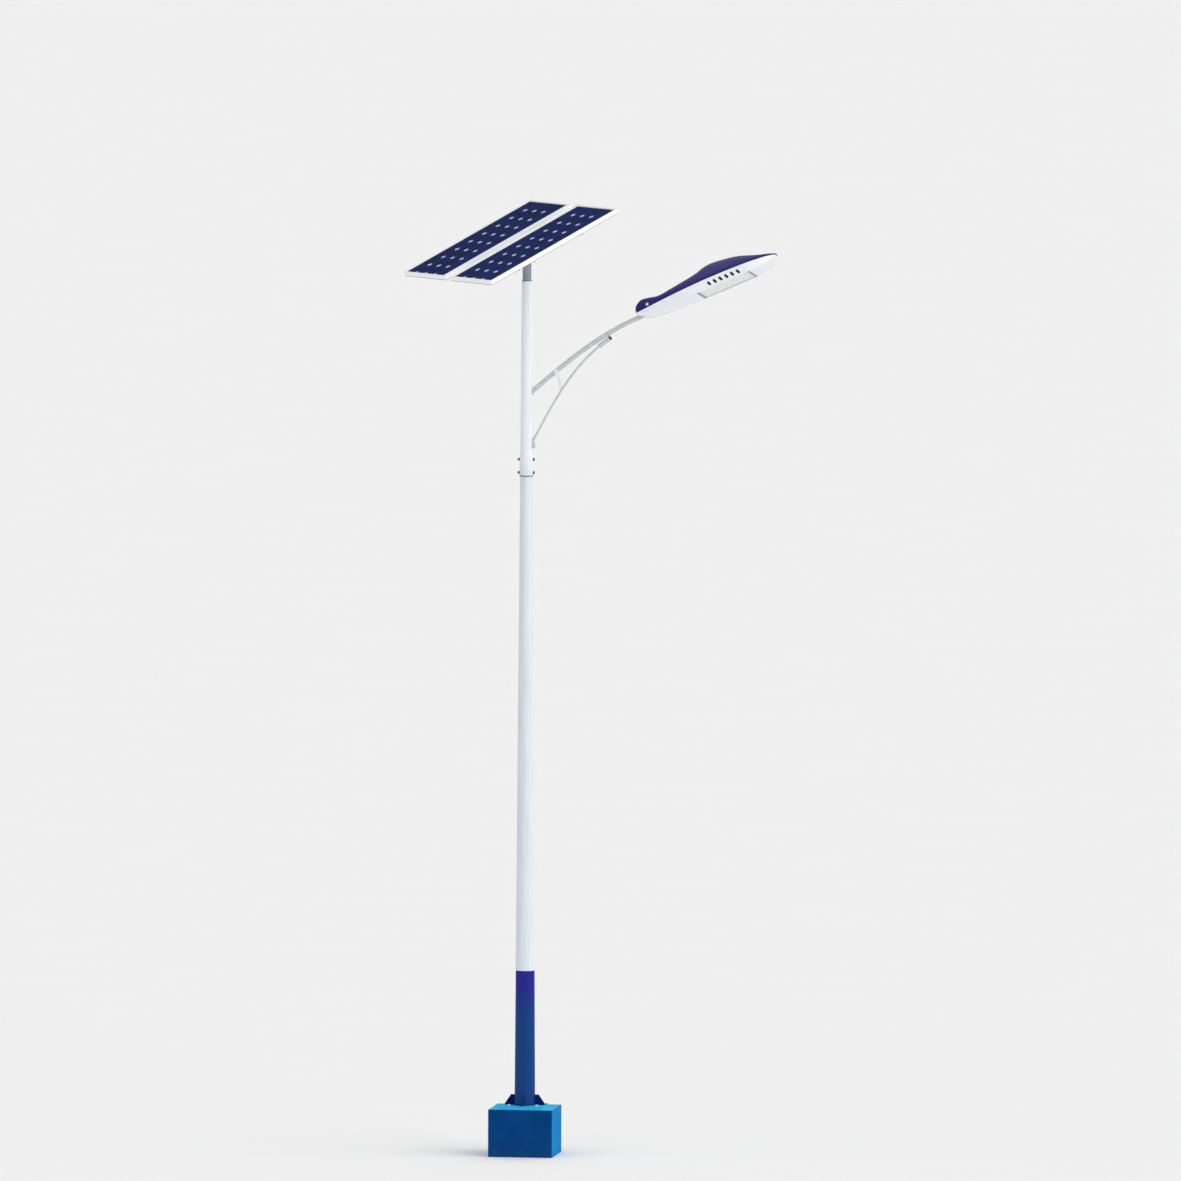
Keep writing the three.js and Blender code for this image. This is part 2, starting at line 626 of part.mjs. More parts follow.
// ---------------------------------------------------------------- module table: tilts about the clevis bolt
// in this group +X runs up the slope, +Z is the modules' outward normal and the origin is the tilt axis
const table = new THREE.Group();
table.position.z = TILT.pivotHeight;
table.rotation.y = -radians(TILT.angle);
mastHead.add(table);

const knuckleTop = 38;
const beamBottom = knuckleTop + GAP;
const railBottom = beamBottom + BEAM.height + GAP;
const moduleBottom = railBottom + RAIL.size + 0.4;
const laminateBottom = moduleBottom + 26;

function tiltKnuckle() {
  const half = TILT.earSpread - 0.5;
  return cut(
    join(bar([0, -half, 0], [0, half, 0], 24, 28), block([-20, -half, 0], [20, half, knuckleTop])),
    bar([0, -80, 0], [0, 80, 0], TILT.boltRadius + GAP),
  );
}

function supportBeam() {
  const { width, height, wall, length } = BEAM;
  const [start, end] = [MODULE.centre - length / 2, MODULE.centre + length / 2];
  return cut(
    block([start, -width / 2, beamBottom], [end, width / 2, beamBottom + height]),
    block([start - 1, -width / 2 + wall, beamBottom + wall],
      [end + 1, width / 2 - wall, beamBottom + height - wall]),
  );
}

// lipped strut channel across both modules, open side down
function panelRail(side) {
  const { size, wall, length, spread } = RAIL;
  const half = size / 2;
  const lip = 9;
  const centre = MODULE.centre + side * spread;
  return cut(
    block([centre - half, -length / 2, railBottom], [centre + half, length / 2, railBottom + size]),
    block([centre - half + wall, -length, railBottom + wall],
      [centre + half - wall, length, railBottom + size - wall]),
    block([centre - half + lip, -length, railBottom - 1],
      [centre + half - lip, length, railBottom + wall + 1]),
  );
}

// a box centred on one module, inset from its edges
function moduleBlock(side, inset, low, high) {
  const centreY = side * (MODULE.gap + MODULE.width) / 2;
  const halfLength = MODULE.length / 2 - inset;
  const halfSpan = MODULE.width / 2 - inset;
  return block([MODULE.centre - halfLength, centreY - halfSpan, low],
    [MODULE.centre + halfLength, centreY + halfSpan, high]);
}

function moduleFrame(side) {
  const top = moduleBottom + MODULE.depth;
  return cut(
    moduleBlock(side, 0, moduleBottom, top),
    moduleBlock(side, 11, moduleBottom + 20, top + 1),
    moduleBlock(side, 4, laminateBottom - GAP, laminateBottom + 5 + GAP),
    moduleBlock(side, 3, moduleBottom + 2, moduleBottom + 21),
    moduleBlock(side, 25, moduleBottom - 1, moduleBottom + 3),
  );
}

function junctionBox(side) {
  const centreY = side * (MODULE.gap + MODULE.width) / 2;
  const start = MODULE.centre + 430;
  const top = laminateBottom - GAP;
  return block([start, centreY - 55, top - 24], [start + 95, centreY + 55, top]);
}

addPiece(table, 'tilt_knuckle', tiltKnuckle(), galvanised);
addPiece(table, 'support_beam', supportBeam(), galvanised);
[1, -1].forEach((side, index) => {
  const number = index + 1;
  addPiece(table, `panel_rail_${number}`, panelRail(side), aluminium);
  addPiece(table, `module_frame_${number}`, moduleFrame(side), anodised);
  addPiece(table, `module_laminate_${number}`,
    moduleBlock(side, 4 + GAP, laminateBottom, laminateBottom + 5), solarGlass);
  addPiece(table, `junction_box_${number}`, junctionBox(side), blackPlastic);
});

// ---------------------------------------------------------------- luminaire: rolls about the arm's spigot
// in this group +X runs along the spigot, the origin is on its axis and the shells meet at z = HEAD.seam
const headGroup = new THREE.Group();
headGroup.position.copy(spigotStart);
headGroup.rotation.set(-radians(HEAD.roll), -headPitch, 0, 'YXZ');
lamp.add(headGroup);

function headHalfWidth(x) {
  const { neck, middle, widest, noseRoundness } = HEAD_WIDTH;
  if (x < widest) return neck + (middle - neck) * Math.sin((Math.PI / 2) * (x / widest));
  const along = Math.min(1, (x - widest) / (HEAD.length + 4 - widest));
  return middle * (1 - along ** noseRoundness) ** (1 / noseRoundness);
}

// one ring round the luminaire: a flat-topped arch over the seam and a flat-bottomed tray under it
function headRing(x, inset) {
  const points = [];
  const steps = 6;
  const station = Math.min(HEAD.length - 2, Math.max(0, x));
  const width = headHalfWidth(station) - inset;
  const crown = Math.max(1, smoothValue(HEAD_CROWN, station) - inset);
  const floor = Math.max(1, smoothValue(HEAD_FLOOR, station) - inset);
  const flatTop = x < 250 ? 0.6 - 0.35 * (x / 250) : 0.25;
  const flatBottom = 0.8;
  const quarter = (flat, height, from, turn) => {
    for (let step = 0; step <= steps; step += 1) {
      const angle = from + (turn * step * Math.PI) / 2 / steps;
      const side = Math.sign(Math.cos(from + (turn * Math.PI) / 4));
      const y = side * width * flat + width * (1 - flat) * Math.cos(angle);
      points.push([x, y, HEAD.seam + height * Math.sin(angle)]);
    }
  };
  quarter(flatTop, crown, 0, 1);
  quarter(flatTop, crown, Math.PI / 2, 1);
  points.pop();
  quarter(flatBottom, floor, Math.PI, 1);
  quarter(flatBottom, floor, -Math.PI / 2, 1);
  points.pop();
  return points;
}

// the luminaire's outer form, or with an inset the hollow inside it
function headForm(inset) {
  const stations = 20;
  const start = inset > 0 ? inset : 0;
  const end = HEAD.length - 2 * inset;
  const rings = [];
  for (let station = 0; station <= stations; station += 1) {
    const along = (1 - Math.cos((Math.PI * station) / stations)) / 2;
    rings.push(headRing(start + (end - start) * along, inset));
  }
  return loft(rings);
}

const above = (height) => block([-50, -400, HEAD.seam + height], [HEAD.length + 50, 400, 400]);
const below = (height) => block([-50, -400, -400], [HEAD.length + 50, 400, HEAD.seam + height]);
const bothSides = (make) => [-1, 1].map(make);

// a box from the seam plane, given once for +Y and mirrored when side is -1
function seamBlock(side, [lowX, lowY, lowZ], [highX, highY, highZ]) {
  const [nearY, farY] = side > 0 ? [lowY, highY] : [-highY, -lowY];
  return block([lowX, nearY, HEAD.seam + lowZ], [highX, farY, HEAD.seam + highZ]);
}

function ventSlot(side, index) {
  const { first, pitch, width, height, depth, slant } = VENTS;
  return new THREE.BoxGeometry(width, 60, height).rotateY(-radians(slant))
    .translate(first + index * pitch, side * 190, HEAD.seam - depth);
}

function glassBlock(margin) {
  const { start, end, halfWidth: half, ledge, glass } = WINDOW;
  const bottom = HEAD.seam - 57 + HEAD.wall + GAP;
  return block([start - ledge - margin, -half - ledge - margin, bottom - margin],
    [end + ledge + margin, half + ledge + margin, bottom + glass + margin]);
}

// a round bar on the cover screws' common axis, between two distances from the middle
function screwLine(from, to, radius, sides = 16) {
  const height = HEAD.seam + COVER_SCREW.z;
  return bar([COVER_SCREW.x, from, height], [COVER_SCREW.x, to, height], radius, sides);
}

function headHousing() {
  const outer = headForm(0);
  const tray = overlap(cut(outer, headForm(HEAD.wall)), below(0));
  const saddle = overlap(overlap(outer, below(-26)), block([40, -38, -60], [130, 38, 40]));
  const pinLugs = bothSides((side) => join(
    seamBlock(side, [4, 46, -10], [60, 57, 14]),
    seamBlock(side, [22, 46, -8], [60, 66, -1]),
  ));
  const screwLugs = bothSides((side) => join(
    seamBlock(side, [COVER_SCREW.x - 10, 70, -8], [COVER_SCREW.x + 10, 82, COVER_SCREW.z - 1]),
    seamBlock(side, [COVER_SCREW.x - 10, 70, -8], [COVER_SCREW.x + 10, 94, -1.5]),
  ));
  const vents = bothSides((side) => Array.from({ length: VENTS.count }, (_, index) => ventSlot(side, index)));
  const opening = block([WINDOW.start, -WINDOW.halfWidth, -80], [WINDOW.end, WINDOW.halfWidth, 0]);
  const { x, z, radius } = COVER_HINGE;
  return cut(
    join(tray, saddle, ...pinLugs, ...screwLugs),
    bar([-60, 0, 0], [ARM.spigotLength + 20, 0, 0], ARM.radius + 0.6, 32),
    bar([x, -80, HEAD.seam + z], [x, 80, HEAD.seam + z], radius + GAP),
    screwLine(-90, 90, COVER_SCREW.radius + 1),
    opening,
    glassBlock(GAP),
    ...vents.flat(),
  );
}

function headCover() {
  const shell = overlap(cut(headForm(0), headForm(HEAD.wall)), above(GAP));
  const { x, z, radius } = COVER_HINGE;
  const corner = cut(
    block([-5, -90, HEAD.seam - 5], [x, 90, HEAD.seam + z]),
    bar([x, -95, HEAD.seam + z], [x, 95, HEAD.seam + z], z - GAP, 32),
  );
  const rearOpening = block([-5, -59, HEAD.seam - 5], [HEAD.wall + 1, 59, HEAD.seam + 17]);
  const { seat, bossRadius } = COVER_SCREW;
  const bosses = bothSides((side) => screwLine(side * 88, side * seat, bossRadius, 24));
  return cut(join(cut(shell, corner, rearOpening), ...bosses), screwLine(-110, 110, COVER_SCREW.radius + GAP),
    bar([x, -90, HEAD.seam + z], [x, 90, HEAD.seam + z], radius + GAP));
}

function coverScrew(side) {
  const { x, z, radius, headRadius, headHeight, seat } = COVER_SCREW;
  const face = seat + GAP + headHeight;
  const slot = seamBlock(side, [x - headRadius, face - 1.5, z - 1], [x + headRadius, face + 1, z + 1]);
  const head = screwLine(side * (seat + GAP), side * face, headRadius, 24);
  return cut(join(head, screwLine(side * 72, side * (seat + 1), radius)), slot);
}

// upper half of the clamp that grips the arm's spigot
function spigotClamp() {
  return cut(
    block([44, -38, 1.2], [126, 38, HEAD.seam + 6]),
    bar([0, 0, 0], [200, 0, 0], ARM.radius + 0.6, 32),
  );
}

function lensEndBar(side) {
  const { start, end, halfWidth: half } = WINDOW;
  const depth = 14;
  const [low, high] = side < 0 ? [start + GAP, start + depth] : [end - depth, end - GAP];
  const top = HEAD.seam - 57 + HEAD.wall - GAP;
  return block([low, -half + GAP, top - 5], [high, half - GAP, top]);
}

function ledBoard() {
  return block([WINDOW.start + 6, -122, HEAD.seam - 42], [WINDOW.end - 6, 122, HEAD.seam - 39]);
}

// finned extrusion on the back of the LED board
function heatSink() {
  const bottom = HEAD.seam - 39 + GAP;
  const [start, end, half] = [WINDOW.start + 10, WINDOW.end - 10, 118];
  const fins = 12;
  const pitch = (2 * half - 4) / (fins - 1);
  const parts = [];
  for (let fin = 0; fin < fins; fin += 1) {
    const y = -half + 2 + fin * pitch;
    parts.push(block([start, y - 1.5, bottom + 4], [end, y + 1.5, bottom + 44]));
  }
  return join(block([start, -half, bottom], [end, half, bottom + 5]), ...parts);
}

function ledDriver() {
  const floor = HEAD.seam - 57 + HEAD.wall + GAP;
  return block([220, -34, floor], [400, 34, floor + 38]);
}

const headPin = bar([COVER_HINGE.x, -66, HEAD.seam + COVER_HINGE.z],
  [COVER_HINGE.x, 66, HEAD.seam + COVER_HINGE.z], COVER_HINGE.radius);

addPiece(headGroup, 'head_housing', headHousing(), whiteCasting);
addPiece(headGroup, 'head_cover', headCover(), navyCover);
addPiece(headGroup, 'cover_hinge_pin', headPin, stainless);
bothSides((side) => side).forEach((side, index) => {
  addPiece(headGroup, `cover_screw_${index + 1}`, coverScrew(side), stainless);
  addPiece(headGroup, `lens_end_bar_${index + 1}`, lensEndBar(side), greySteel);
});
addPiece(headGroup, 'spigot_clamp', spigotClamp(), whiteCasting);
addPiece(headGroup, 'lens_glass', glassBlock(0), lensGlass);
addPiece(headGroup, 'led_board', ledBoard(), aluminium);
addPiece(headGroup, 'heat_sink', heatSink(), aluminium);
addPiece(headGroup, 'led_driver', ledDriver(), anodised);

export default lamp;
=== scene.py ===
import json
import math

import bmesh
import bpy
from mathutils import Matrix, Vector


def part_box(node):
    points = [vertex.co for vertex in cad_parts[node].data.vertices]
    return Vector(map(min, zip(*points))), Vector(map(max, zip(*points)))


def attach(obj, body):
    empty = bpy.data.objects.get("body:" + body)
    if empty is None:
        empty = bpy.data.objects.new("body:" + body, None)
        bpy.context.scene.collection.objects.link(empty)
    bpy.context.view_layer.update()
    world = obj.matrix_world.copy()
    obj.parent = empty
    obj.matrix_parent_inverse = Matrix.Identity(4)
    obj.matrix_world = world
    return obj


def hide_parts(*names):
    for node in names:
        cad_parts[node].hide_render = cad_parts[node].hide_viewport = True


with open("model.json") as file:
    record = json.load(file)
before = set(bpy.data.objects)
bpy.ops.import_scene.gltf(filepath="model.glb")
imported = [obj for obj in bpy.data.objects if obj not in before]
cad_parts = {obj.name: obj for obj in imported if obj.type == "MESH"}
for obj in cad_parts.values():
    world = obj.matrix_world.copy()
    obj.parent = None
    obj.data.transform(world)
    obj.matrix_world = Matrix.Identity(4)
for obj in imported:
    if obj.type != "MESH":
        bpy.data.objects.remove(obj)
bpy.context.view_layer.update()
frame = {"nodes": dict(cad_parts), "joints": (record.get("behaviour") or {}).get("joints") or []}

# Solar street lamp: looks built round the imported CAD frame.
# Sizes are in millimetres in each sub-part's own frame, and MM turns them into the scene's metres.
MM = 0.001
UP = Vector((0, 0, 1))
DOWN = -UP
ORIGIN = Vector((0, 0, 0))
NODES = frame["nodes"]
JOINTS = {joint["name"]: joint for joint in frame["joints"]}

# ------------------------------------------------------------------ driving dimensions, millimetres
DOOR = {"middle": 172, "face": 250, "lock_x": 178}
BATTERY = {"length": 330, "width": 172, "height": 215, "spacing": 4, "floor": 10.6}
FLANGE = {"top": 361.3, "bolt": 100}
GUSSET = {"reach": 148, "height": 76, "half": 4}
LOWER_POLE = {"bottom": 361.6, "bottom_radius": 75, "top_radius": 44.7, "top": 5085, "wall": 3.5}
SLEEVE = {"bottom": 4943, "top": 5095, "radius": 49.5, "bore": 45.8, "bolt_heights": (4968, 5064)}
UPPER_POLE = {"shoulder": 5112, "bottom_radius": 45.5, "top_radius": 37, "bore": 32.4, "top": 6361}
PAINT_BREAK = 1345
ARM = {"radius": 16.85, "root_x": 30, "root": 5549, "slope": 41, "spigot": 150}
BRACE = {"radius": 8, "root_x": 38, "root": 5181, "slope": 62, "reach": 618, "drop": 146}
SOCKET = {"radius": 15.5, "length": 110, "slope": 37, "cap": 15}
STRUT_TOP = {"reach": 216, "collar": 26}
MAST = {"radius": 32, "wall": 4, "bottom": 6210, "top": 6497}
TILT = {"pivot": 6556, "rest": 24, "ear": 46}
MODULE = {"length": 1195, "width": 541, "gap": 68, "centre": -90, "glass_bottom": 146, "glass_top": 151}
CELLS = {"rows": 9, "columns": 4, "end_margin": 5, "inner_margin": 30, "outer_margin": 8, "lip": 11}
RAIL = {"spread": 300, "bottom": 78.6, "top": 119.6}
BEAM = {"bottom": 38.3, "top": 78.3, "half": 30, "length": 760}
HEAD = {"length": 1105, "pitch": 23.5, "wall": 3, "seam": 26}
HEAD_WIDTH = {"neck": 62, "middle": 200, "widest": 650, "roundness": 2.3}
HEAD_CROWN = ((0, 22), (12, 49), (34, 65), (64, 79), (120, 73), (195, 57), (290, 65), (450, 84), (525, 96),
            (575, 112), (640, 121), (750, 111), (850, 93), (930, 66), (1000, 42), (1060, 27), (1105, 14))
HEAD_FLOOR = ((0, 14), (60, 46), (120, 57), (300, 57), (930, 57), (1000, 46), (1060, 26), (1105, 8))
WINDOW = {"start": 480, "end": 900, "half": 132}
VENTS = {"count": 6, "first": 600, "pitch": 45.4, "width": 19, "height": 33, "depth": 37, "slant": 30}
COVER_HINGE = {"x": 8, "z": 8, "radius": 4, "clear": 7.7}
COVER_SCREW = {"x": 106, "z": 20, "radius": 4, "head": 12, "height": 5, "seat": 99, "boss": 14}

# the camera looks from far away, so the view is almost parallel
CAMERA = {"azimuth": 8.5, "elevation": 4.5, "roll": 0.16, "distance": 200, "lens": 840,
          "aim_right": 0.4688, "aim_up": 0.7075, "aim_height": 3.4}


# ------------------------------------------------------------------ frames of the lamp's sub-parts
def frame_of(origin, x_axis, y_axis):
    """A matrix from millimetres in a sub-part's frame to metres in the lamp's frame."""
    x_axis, y_axis = Vector(x_axis).normalized(), Vector(y_axis).normalized()
    z_axis = x_axis.cross(y_axis)
    turn = Matrix((x_axis, y_axis, z_axis)).transposed().to_4x4()
    return Matrix.Translation(Vector(origin)) @ turn @ Matrix.Scale(MM, 4)


def table_frame():
    """X runs up the modules' slope, Z is their normal and the origin is on the tilt bolt."""
    across = -Vector(JOINTS["panel_tilt"]["axis"])
    level = across.cross(UP)
    rest = math.radians(TILT["rest"])
    slope = level * math.cos(rest) + UP * math.sin(rest)
    return frame_of(JOINTS["panel_tilt"]["pos_m"], slope, across)


def mast_frame():
    across = -Vector(JOINTS["panel_tilt"]["axis"])
    return frame_of((0, 0, 0), across.cross(UP), across)


def head_frame():
    """X runs along the arm's spigot and the shells meet at z = HEAD["seam"]."""
    joint = JOINTS["head_roll"]
    return frame_of(joint["pos_m"], joint["axis"], -Vector(JOINTS["cover_lift"]["axis"]))


LAMP_FRAME = Matrix.Scale(MM, 4)
MAST_FRAME = mast_frame()
TABLE_FRAME = table_frame()
HEAD_FRAME = head_frame()


# ------------------------------------------------------------------ mesh building
def polar(radius, angle):
    return radius * math.cos(angle), radius * math.sin(angle)


def across_axes(direction):
    """Two unit vectors square to a direction."""
    along = Vector(direction).normalized()
    helper = Vector((0, 1, 0)) if abs(along.y) < 0.9 else Vector((1, 0, 0))
    side = along.cross(helper).normalized()
    return side, along.cross(side)


class Shape:
    """A mesh put together in millimetres from rings of points."""

    def __init__(self):
        self.points = []
        self.faces = []

    def add(self, points, faces):
        base = len(self.points)
        self.points.extend(Vector(point) for point in points)
        self.faces.extend([base + index for index in face] for face in faces)
        return self

    def rings(self, rings, closed=False):
        """A skin over rings of equally many points, capped at both ends unless it closes on itself."""
        count, size = len(rings), len(rings[0])
        faces = []
        for row in range(count if closed else count - 1):
            after = (row + 1) % count
            for column in range(size):
                beside = (column + 1) % size
                faces.append((row * size + column, row * size + beside,
                              after * size + beside, after * size + column))
        if not closed:
            faces.append(tuple(range(size)))
            faces.append(tuple(range((count - 1) * size, count * size)))
        return self.add([point for ring in rings for point in ring], faces)

    def box(self, low, high):
        corners = ((low[0], low[1]), (high[0], low[1]), (high[0], high[1]), (low[0], high[1]))
        return self.rings([[(x, y, z) for x, y in corners] for z in (low[2], high[2])])

    def turned(self, profile, start, direction, sides=48, closed=False):
        """A body of revolution from (distance along the axis, radius) pairs."""
        along = Vector(direction).normalized()
        side, other = across_axes(along)
        rings = []
        for distance, radius in profile:
            centre = Vector(start) + along * distance
            ring = []
            for step in range(sides):
                a, b = polar(max(radius, 0.02), 2 * math.pi * step / sides)
                ring.append(centre + side * a + other * b)
            rings.append(ring)
        return self.rings(rings, closed)

    def tube(self, path, radius, sides=16, closed=False, ripple=0.0):
        """A round rod along a path; ripple swells it from point to point, as a weld bead does."""
        path = [Vector(point) for point in path]
        rings = []
        side = None
        for index, point in enumerate(path):
            if closed:
                along = path[(index + 1) % len(path)] - path[index - 1]
            else:
                along = path[min(index + 1, len(path) - 1)] - path[max(index - 1, 0)]
            along.normalize()
            side = across_axes(along)[0] if side is None else (side - along * side.dot(along)).normalized()
            other = along.cross(side)
            size = radius * (1 + ripple * (1 if index % 2 else -1))
            ring = []
            for step in range(sides):
                a, b = polar(size, 2 * math.pi * step / sides)
                ring.append(point + side * a + other * b)
            rings.append(ring)
        return self.rings(rings, closed)

    def object(self, name, matrix):
        mesh = bpy.data.meshes.new(name)
        mesh.from_pydata([matrix @ point for point in self.points], [], self.faces)
        work = bmesh.new()
        work.from_mesh(mesh)
        bmesh.ops.recalc_face_normals(work, faces=work.faces)
        work.to_mesh(mesh)
        work.free()
        made = bpy.data.objects.new(name, mesh)
        bpy.context.scene.collection.objects.link(made)
        return made


def smooth(made, angle=35):
    made.data.shade_smooth()
    made.data.set_sharp_from_angle(angle=math.radians(angle))


def rounded(made, width, segments=2):
    """Rounds the sharp edges, width in millimetres."""
    bevel = made.modifiers.new("edges", "BEVEL")
    bevel.width = width * MM
    bevel.segments = segments
    bevel.limit_method = "ANGLE"
    bevel.angle_limit = math.radians(30)
    bevel.harden_normals = True


def piece(shape, name, body, material, matrix=LAMP_FRAME, stands_for=(), bevel=0.0, angle=35):
    made = shape.object(name, matrix)
    finish_piece(made, body, material, stands_for, bevel, angle)
    return made


def finish_piece(made, body, material, stands_for=(), bevel=0.0, angle=35):
    made.data.materials.append(material)
    smooth(made, angle)
    if bevel:
        rounded(made, bevel)
    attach(made, body)
    if stands_for:
        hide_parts(*stands_for)


def dress(node, material, bevel=0.0, angle=35):
    """Gives a CAD node its finish and softens its edges."""
    made = NODES[node]
    made.data.materials.clear()
    made.data.materials.append(material)
    smooth(made, angle)
    if bevel:
        merge = made.modifiers.new("flat faces", "DECIMATE")
        merge.decimate_type = "DISSOLVE"
        merge.angle_limit = math.radians(1)
        rounded(made, bevel)


# ------------------------------------------------------------------ finishes
def paint(red, green, blue):
    """A colour given as it looks on a screen, 0 to 255, in the linear values that Blender wants."""
    channels = [value / 255 for value in (red, green, blue)]
    linear = [c / 12.92 if c <= 0.04045 else ((c + 0.055) / 1.055) ** 2.4 for c in channels]
    return (*linear, 1.0)


class Finish:
    """A Principled material, with short names for the nodes that vary it over the surface."""

    def __init__(self, name, **sockets):
        self.material = bpy.data.materials.new(name)
        self.material.use_nodes = True
        self.tree = self.material.node_tree
        self.shader = self.tree.nodes["Principled BSDF"]
        for socket, value in sockets.items():
            self.shader.inputs[socket.replace("_", " ")].default_value = value
        self.place = self.tree.nodes.new("ShaderNodeTexCoord").outputs["Object"]

    def node(self, kind, *inputs, **settings):
        made = self.tree.nodes.new(kind)
        for setting, value in settings.items():
            setattr(made, setting, value)
        for index, value in enumerate(inputs):
            self.feed(made.inputs[index], value)
        return made

    def feed(self, socket, value):
        if value is None:
            return
        if isinstance(value, bpy.types.NodeSocket):
            self.tree.links.new(value, socket)
        else:
            socket.default_value = value

    def math(self, operation, *inputs):
        return self.node("ShaderNodeMath", *inputs, operation=operation).outputs[0]

    def vector(self, operation, *inputs):
        return self.node("ShaderNodeVectorMath", *inputs, operation=operation)

    def along(self, matrix, axis):
        """Distance in millimetres along one axis of a sub-part's frame."""
        unit = matrix.to_3x3().normalized().col[axis]
        offset = matrix.translation.dot(unit)
        distance = self.vector("DOT_PRODUCT", self.place, tuple(unit)).outputs["Value"]
        return self.math("MULTIPLY", self.math("SUBTRACT", distance, offset), 1 / MM)

    def between(self, value, low, high):
        """0 at low, 1 at high, straight between them."""
        made = self.node("ShaderNodeMapRange", value, low, high, 0.0, 1.0)
        return made.outputs[0]

    def noise(self, size, detail=3.0, stretch=(1, 1, 1)):
        """Cloudy variation with blobs of about that size in millimetres, longer where stretch is above 1."""
        scale = tuple(1 / (size * MM * factor) for factor in stretch)
        place = self.vector("MULTIPLY", self.place, scale).outputs["Vector"]
        made = self.node("ShaderNodeTexNoise", place)
        made.inputs["Scale"].default_value = 1.0
        made.inputs["Detail"].default_value = detail
        return made.outputs["Fac"]

    def crystals(self, size):
        """A random shade per crystal, as on zinc."""
        place = self.vector("SCALE", self.place)
        place.inputs["Scale"].default_value = 1 / (size * MM)
        made = self.node("ShaderNodeTexVoronoi", place.outputs["Vector"])
        made.inputs["Scale"].default_value = 1.0
        return self.node("ShaderNodeSeparateColor", made.outputs["Color"]).outputs[0]

    def mix(self, factor, first, second):
        made = self.node("ShaderNodeMix", data_type="RGBA")
        self.feed(made.inputs["Factor"], factor)
        self.feed(made.inputs[6], first)
        self.feed(made.inputs[7], second)
        return made.outputs[2]

    def colour(self, socket):
        self.feed(self.shader.inputs["Base Color"], socket)
        return self

    def roughness(self, factor, low, high):
        made = self.node("ShaderNodeMapRange", factor, 0.3, 0.7, low, high)
        self.feed(self.shader.inputs["Roughness"], made.outputs[0])
        return self

    def bump(self, height, depth, strength=0.6):
        """Relief of that depth in millimetres."""
        made = self.node("ShaderNodeBump")
        made.inputs["Strength"].default_value = strength
        made.inputs["Distance"].default_value = depth * MM
        self.feed(made.inputs["Height"], height)
        self.feed(self.shader.inputs["Normal"], made.outputs["Normal"])
        return self


def mottled(finish, factor, dark, light):
    """Base colour between two shades."""
    return finish.colour(finish.mix(finish.between(factor, 0.3, 0.7), dark, light))


def dusty(finish, colour, dust, top):
    """Splashed dust that fades out from the ground to the given height."""
    height = finish.along(LAMP_FRAME, 2)
    fade = finish.math("SUBTRACT", 1.0, finish.between(height, 0.0, top))
    amount = finish.math("MULTIPLY", finish.math("MULTIPLY", fade, finish.noise(35, 5)), 0.3)
    return finish.mix(amount, colour, dust)


def gloss_coat(name, gloss, rough):
    """Saturated paint: all its gloss is in a thin clear coat, so the colour stays deep at low angles."""
    return Finish(name, Specular_IOR_Level=0.0, Coat_Weight=gloss, Coat_Roughness=rough)


def blue_paint(name, dark, light):
    made = gloss_coat(name, 0.08, 0.22)
    cloud = made.between(made.noise(160, 4), 0.3, 0.7)
    made.colour(dusty(made, made.mix(cloud, dark, light), paint(60, 84, 112), 90))
    made.roughness(made.noise(22, 5), 0.28, 0.45)
    return made.bump(made.noise(1.6, 2), 0.08, 0.35).material


def cabinet_paint_with_painted_light():
    """Navy on the front and back; a lighter blue on the sides and paler still on the top, which are painted
    light.
    """
    made = gloss_coat("cabinet powder coat with painted side and top light", 0.07, 0.22)
    facing = made.node("ShaderNodeSeparateXYZ", made.place.node.outputs["Normal"])
    # the faces' directions pick where the painted side and top light go
    side_light_mask = made.between(made.math("ABSOLUTE", facing.outputs[0]), 0.35, 0.85)
    top_light_mask = made.between(facing.outputs[2], 0.35, 0.85)
    cloud = made.between(made.noise(160, 4), 0.3, 0.7)
    navy = made.mix(cloud, paint(2, 58, 116), paint(3, 66, 128))
    # painted side light: a lighter blue on the faces that point sideways
    painted_light_blue = made.mix(cloud, paint(2, 118, 184), paint(6, 130, 198))
    # painted top light: a paler blue on the faces that point up
    pale = made.mix(cloud, paint(50, 182, 228), paint(66, 196, 238))
    coat = made.mix(top_light_mask, made.mix(side_light_mask, navy, painted_light_blue), pale)
    made.colour(dusty(made, coat, paint(60, 84, 112), 90))
    made.roughness(made.noise(22, 5), 0.28, 0.45)
    return made.bump(made.noise(1.6, 2), 0.08, 0.35).material


def pole_paint():
    """White on the shaft and blue on its foot, with a violet band where the two coats meet."""
    made = gloss_coat("pole powder coat", 0.3, 0.2)
    height = made.along(LAMP_FRAME, 2)
    streaks = made.between(made.noise(9, 4, (1, 1, 40)), 0.35, 0.75)
    lower_white = made.mix(streaks, paint(224, 231, 239), paint(208, 216, 224))
    upper_white = made.mix(streaks, paint(237, 241, 247), paint(222, 228, 234))
    white = made.mix(made.between(height, SLEEVE["bottom"], SLEEVE["top"]), lower_white, upper_white)
    blue = made.mix(made.between(height, 990, 1230), paint(3, 60, 124), paint(30, 33, 138))
    blue = dusty(made, blue, paint(60, 84, 112), 480)
    edge = made.math("ADD", height, made.math("MULTIPLY", made.noise(14, 2), 3.0))
    painted = made.math("LESS_THAN", edge, PAINT_BREAK)
    made.colour(made.mix(painted, white, blue))
    made.roughness(made.noise(30, 4), 0.33, 0.5)
    return made.bump(made.noise(1.8, 2), 0.07, 0.3).material


def galvanised():
    made = Finish("galvanised steel", Metallic=0.15, Roughness=0.45)
    crystals = made.math("MULTIPLY", made.crystals(9), 0.6)
    spangle = made.math("ADD", crystals, made.math("MULTIPLY", made.noise(45, 4), 0.5))
    made.colour(made.mix(made.between(spangle, 0.2, 0.9), paint(178, 183, 184), paint(212, 217, 218)))
    made.roughness(spangle, 0.36, 0.56)
    return made.bump(made.noise(5, 4), 0.08, 0.35).material


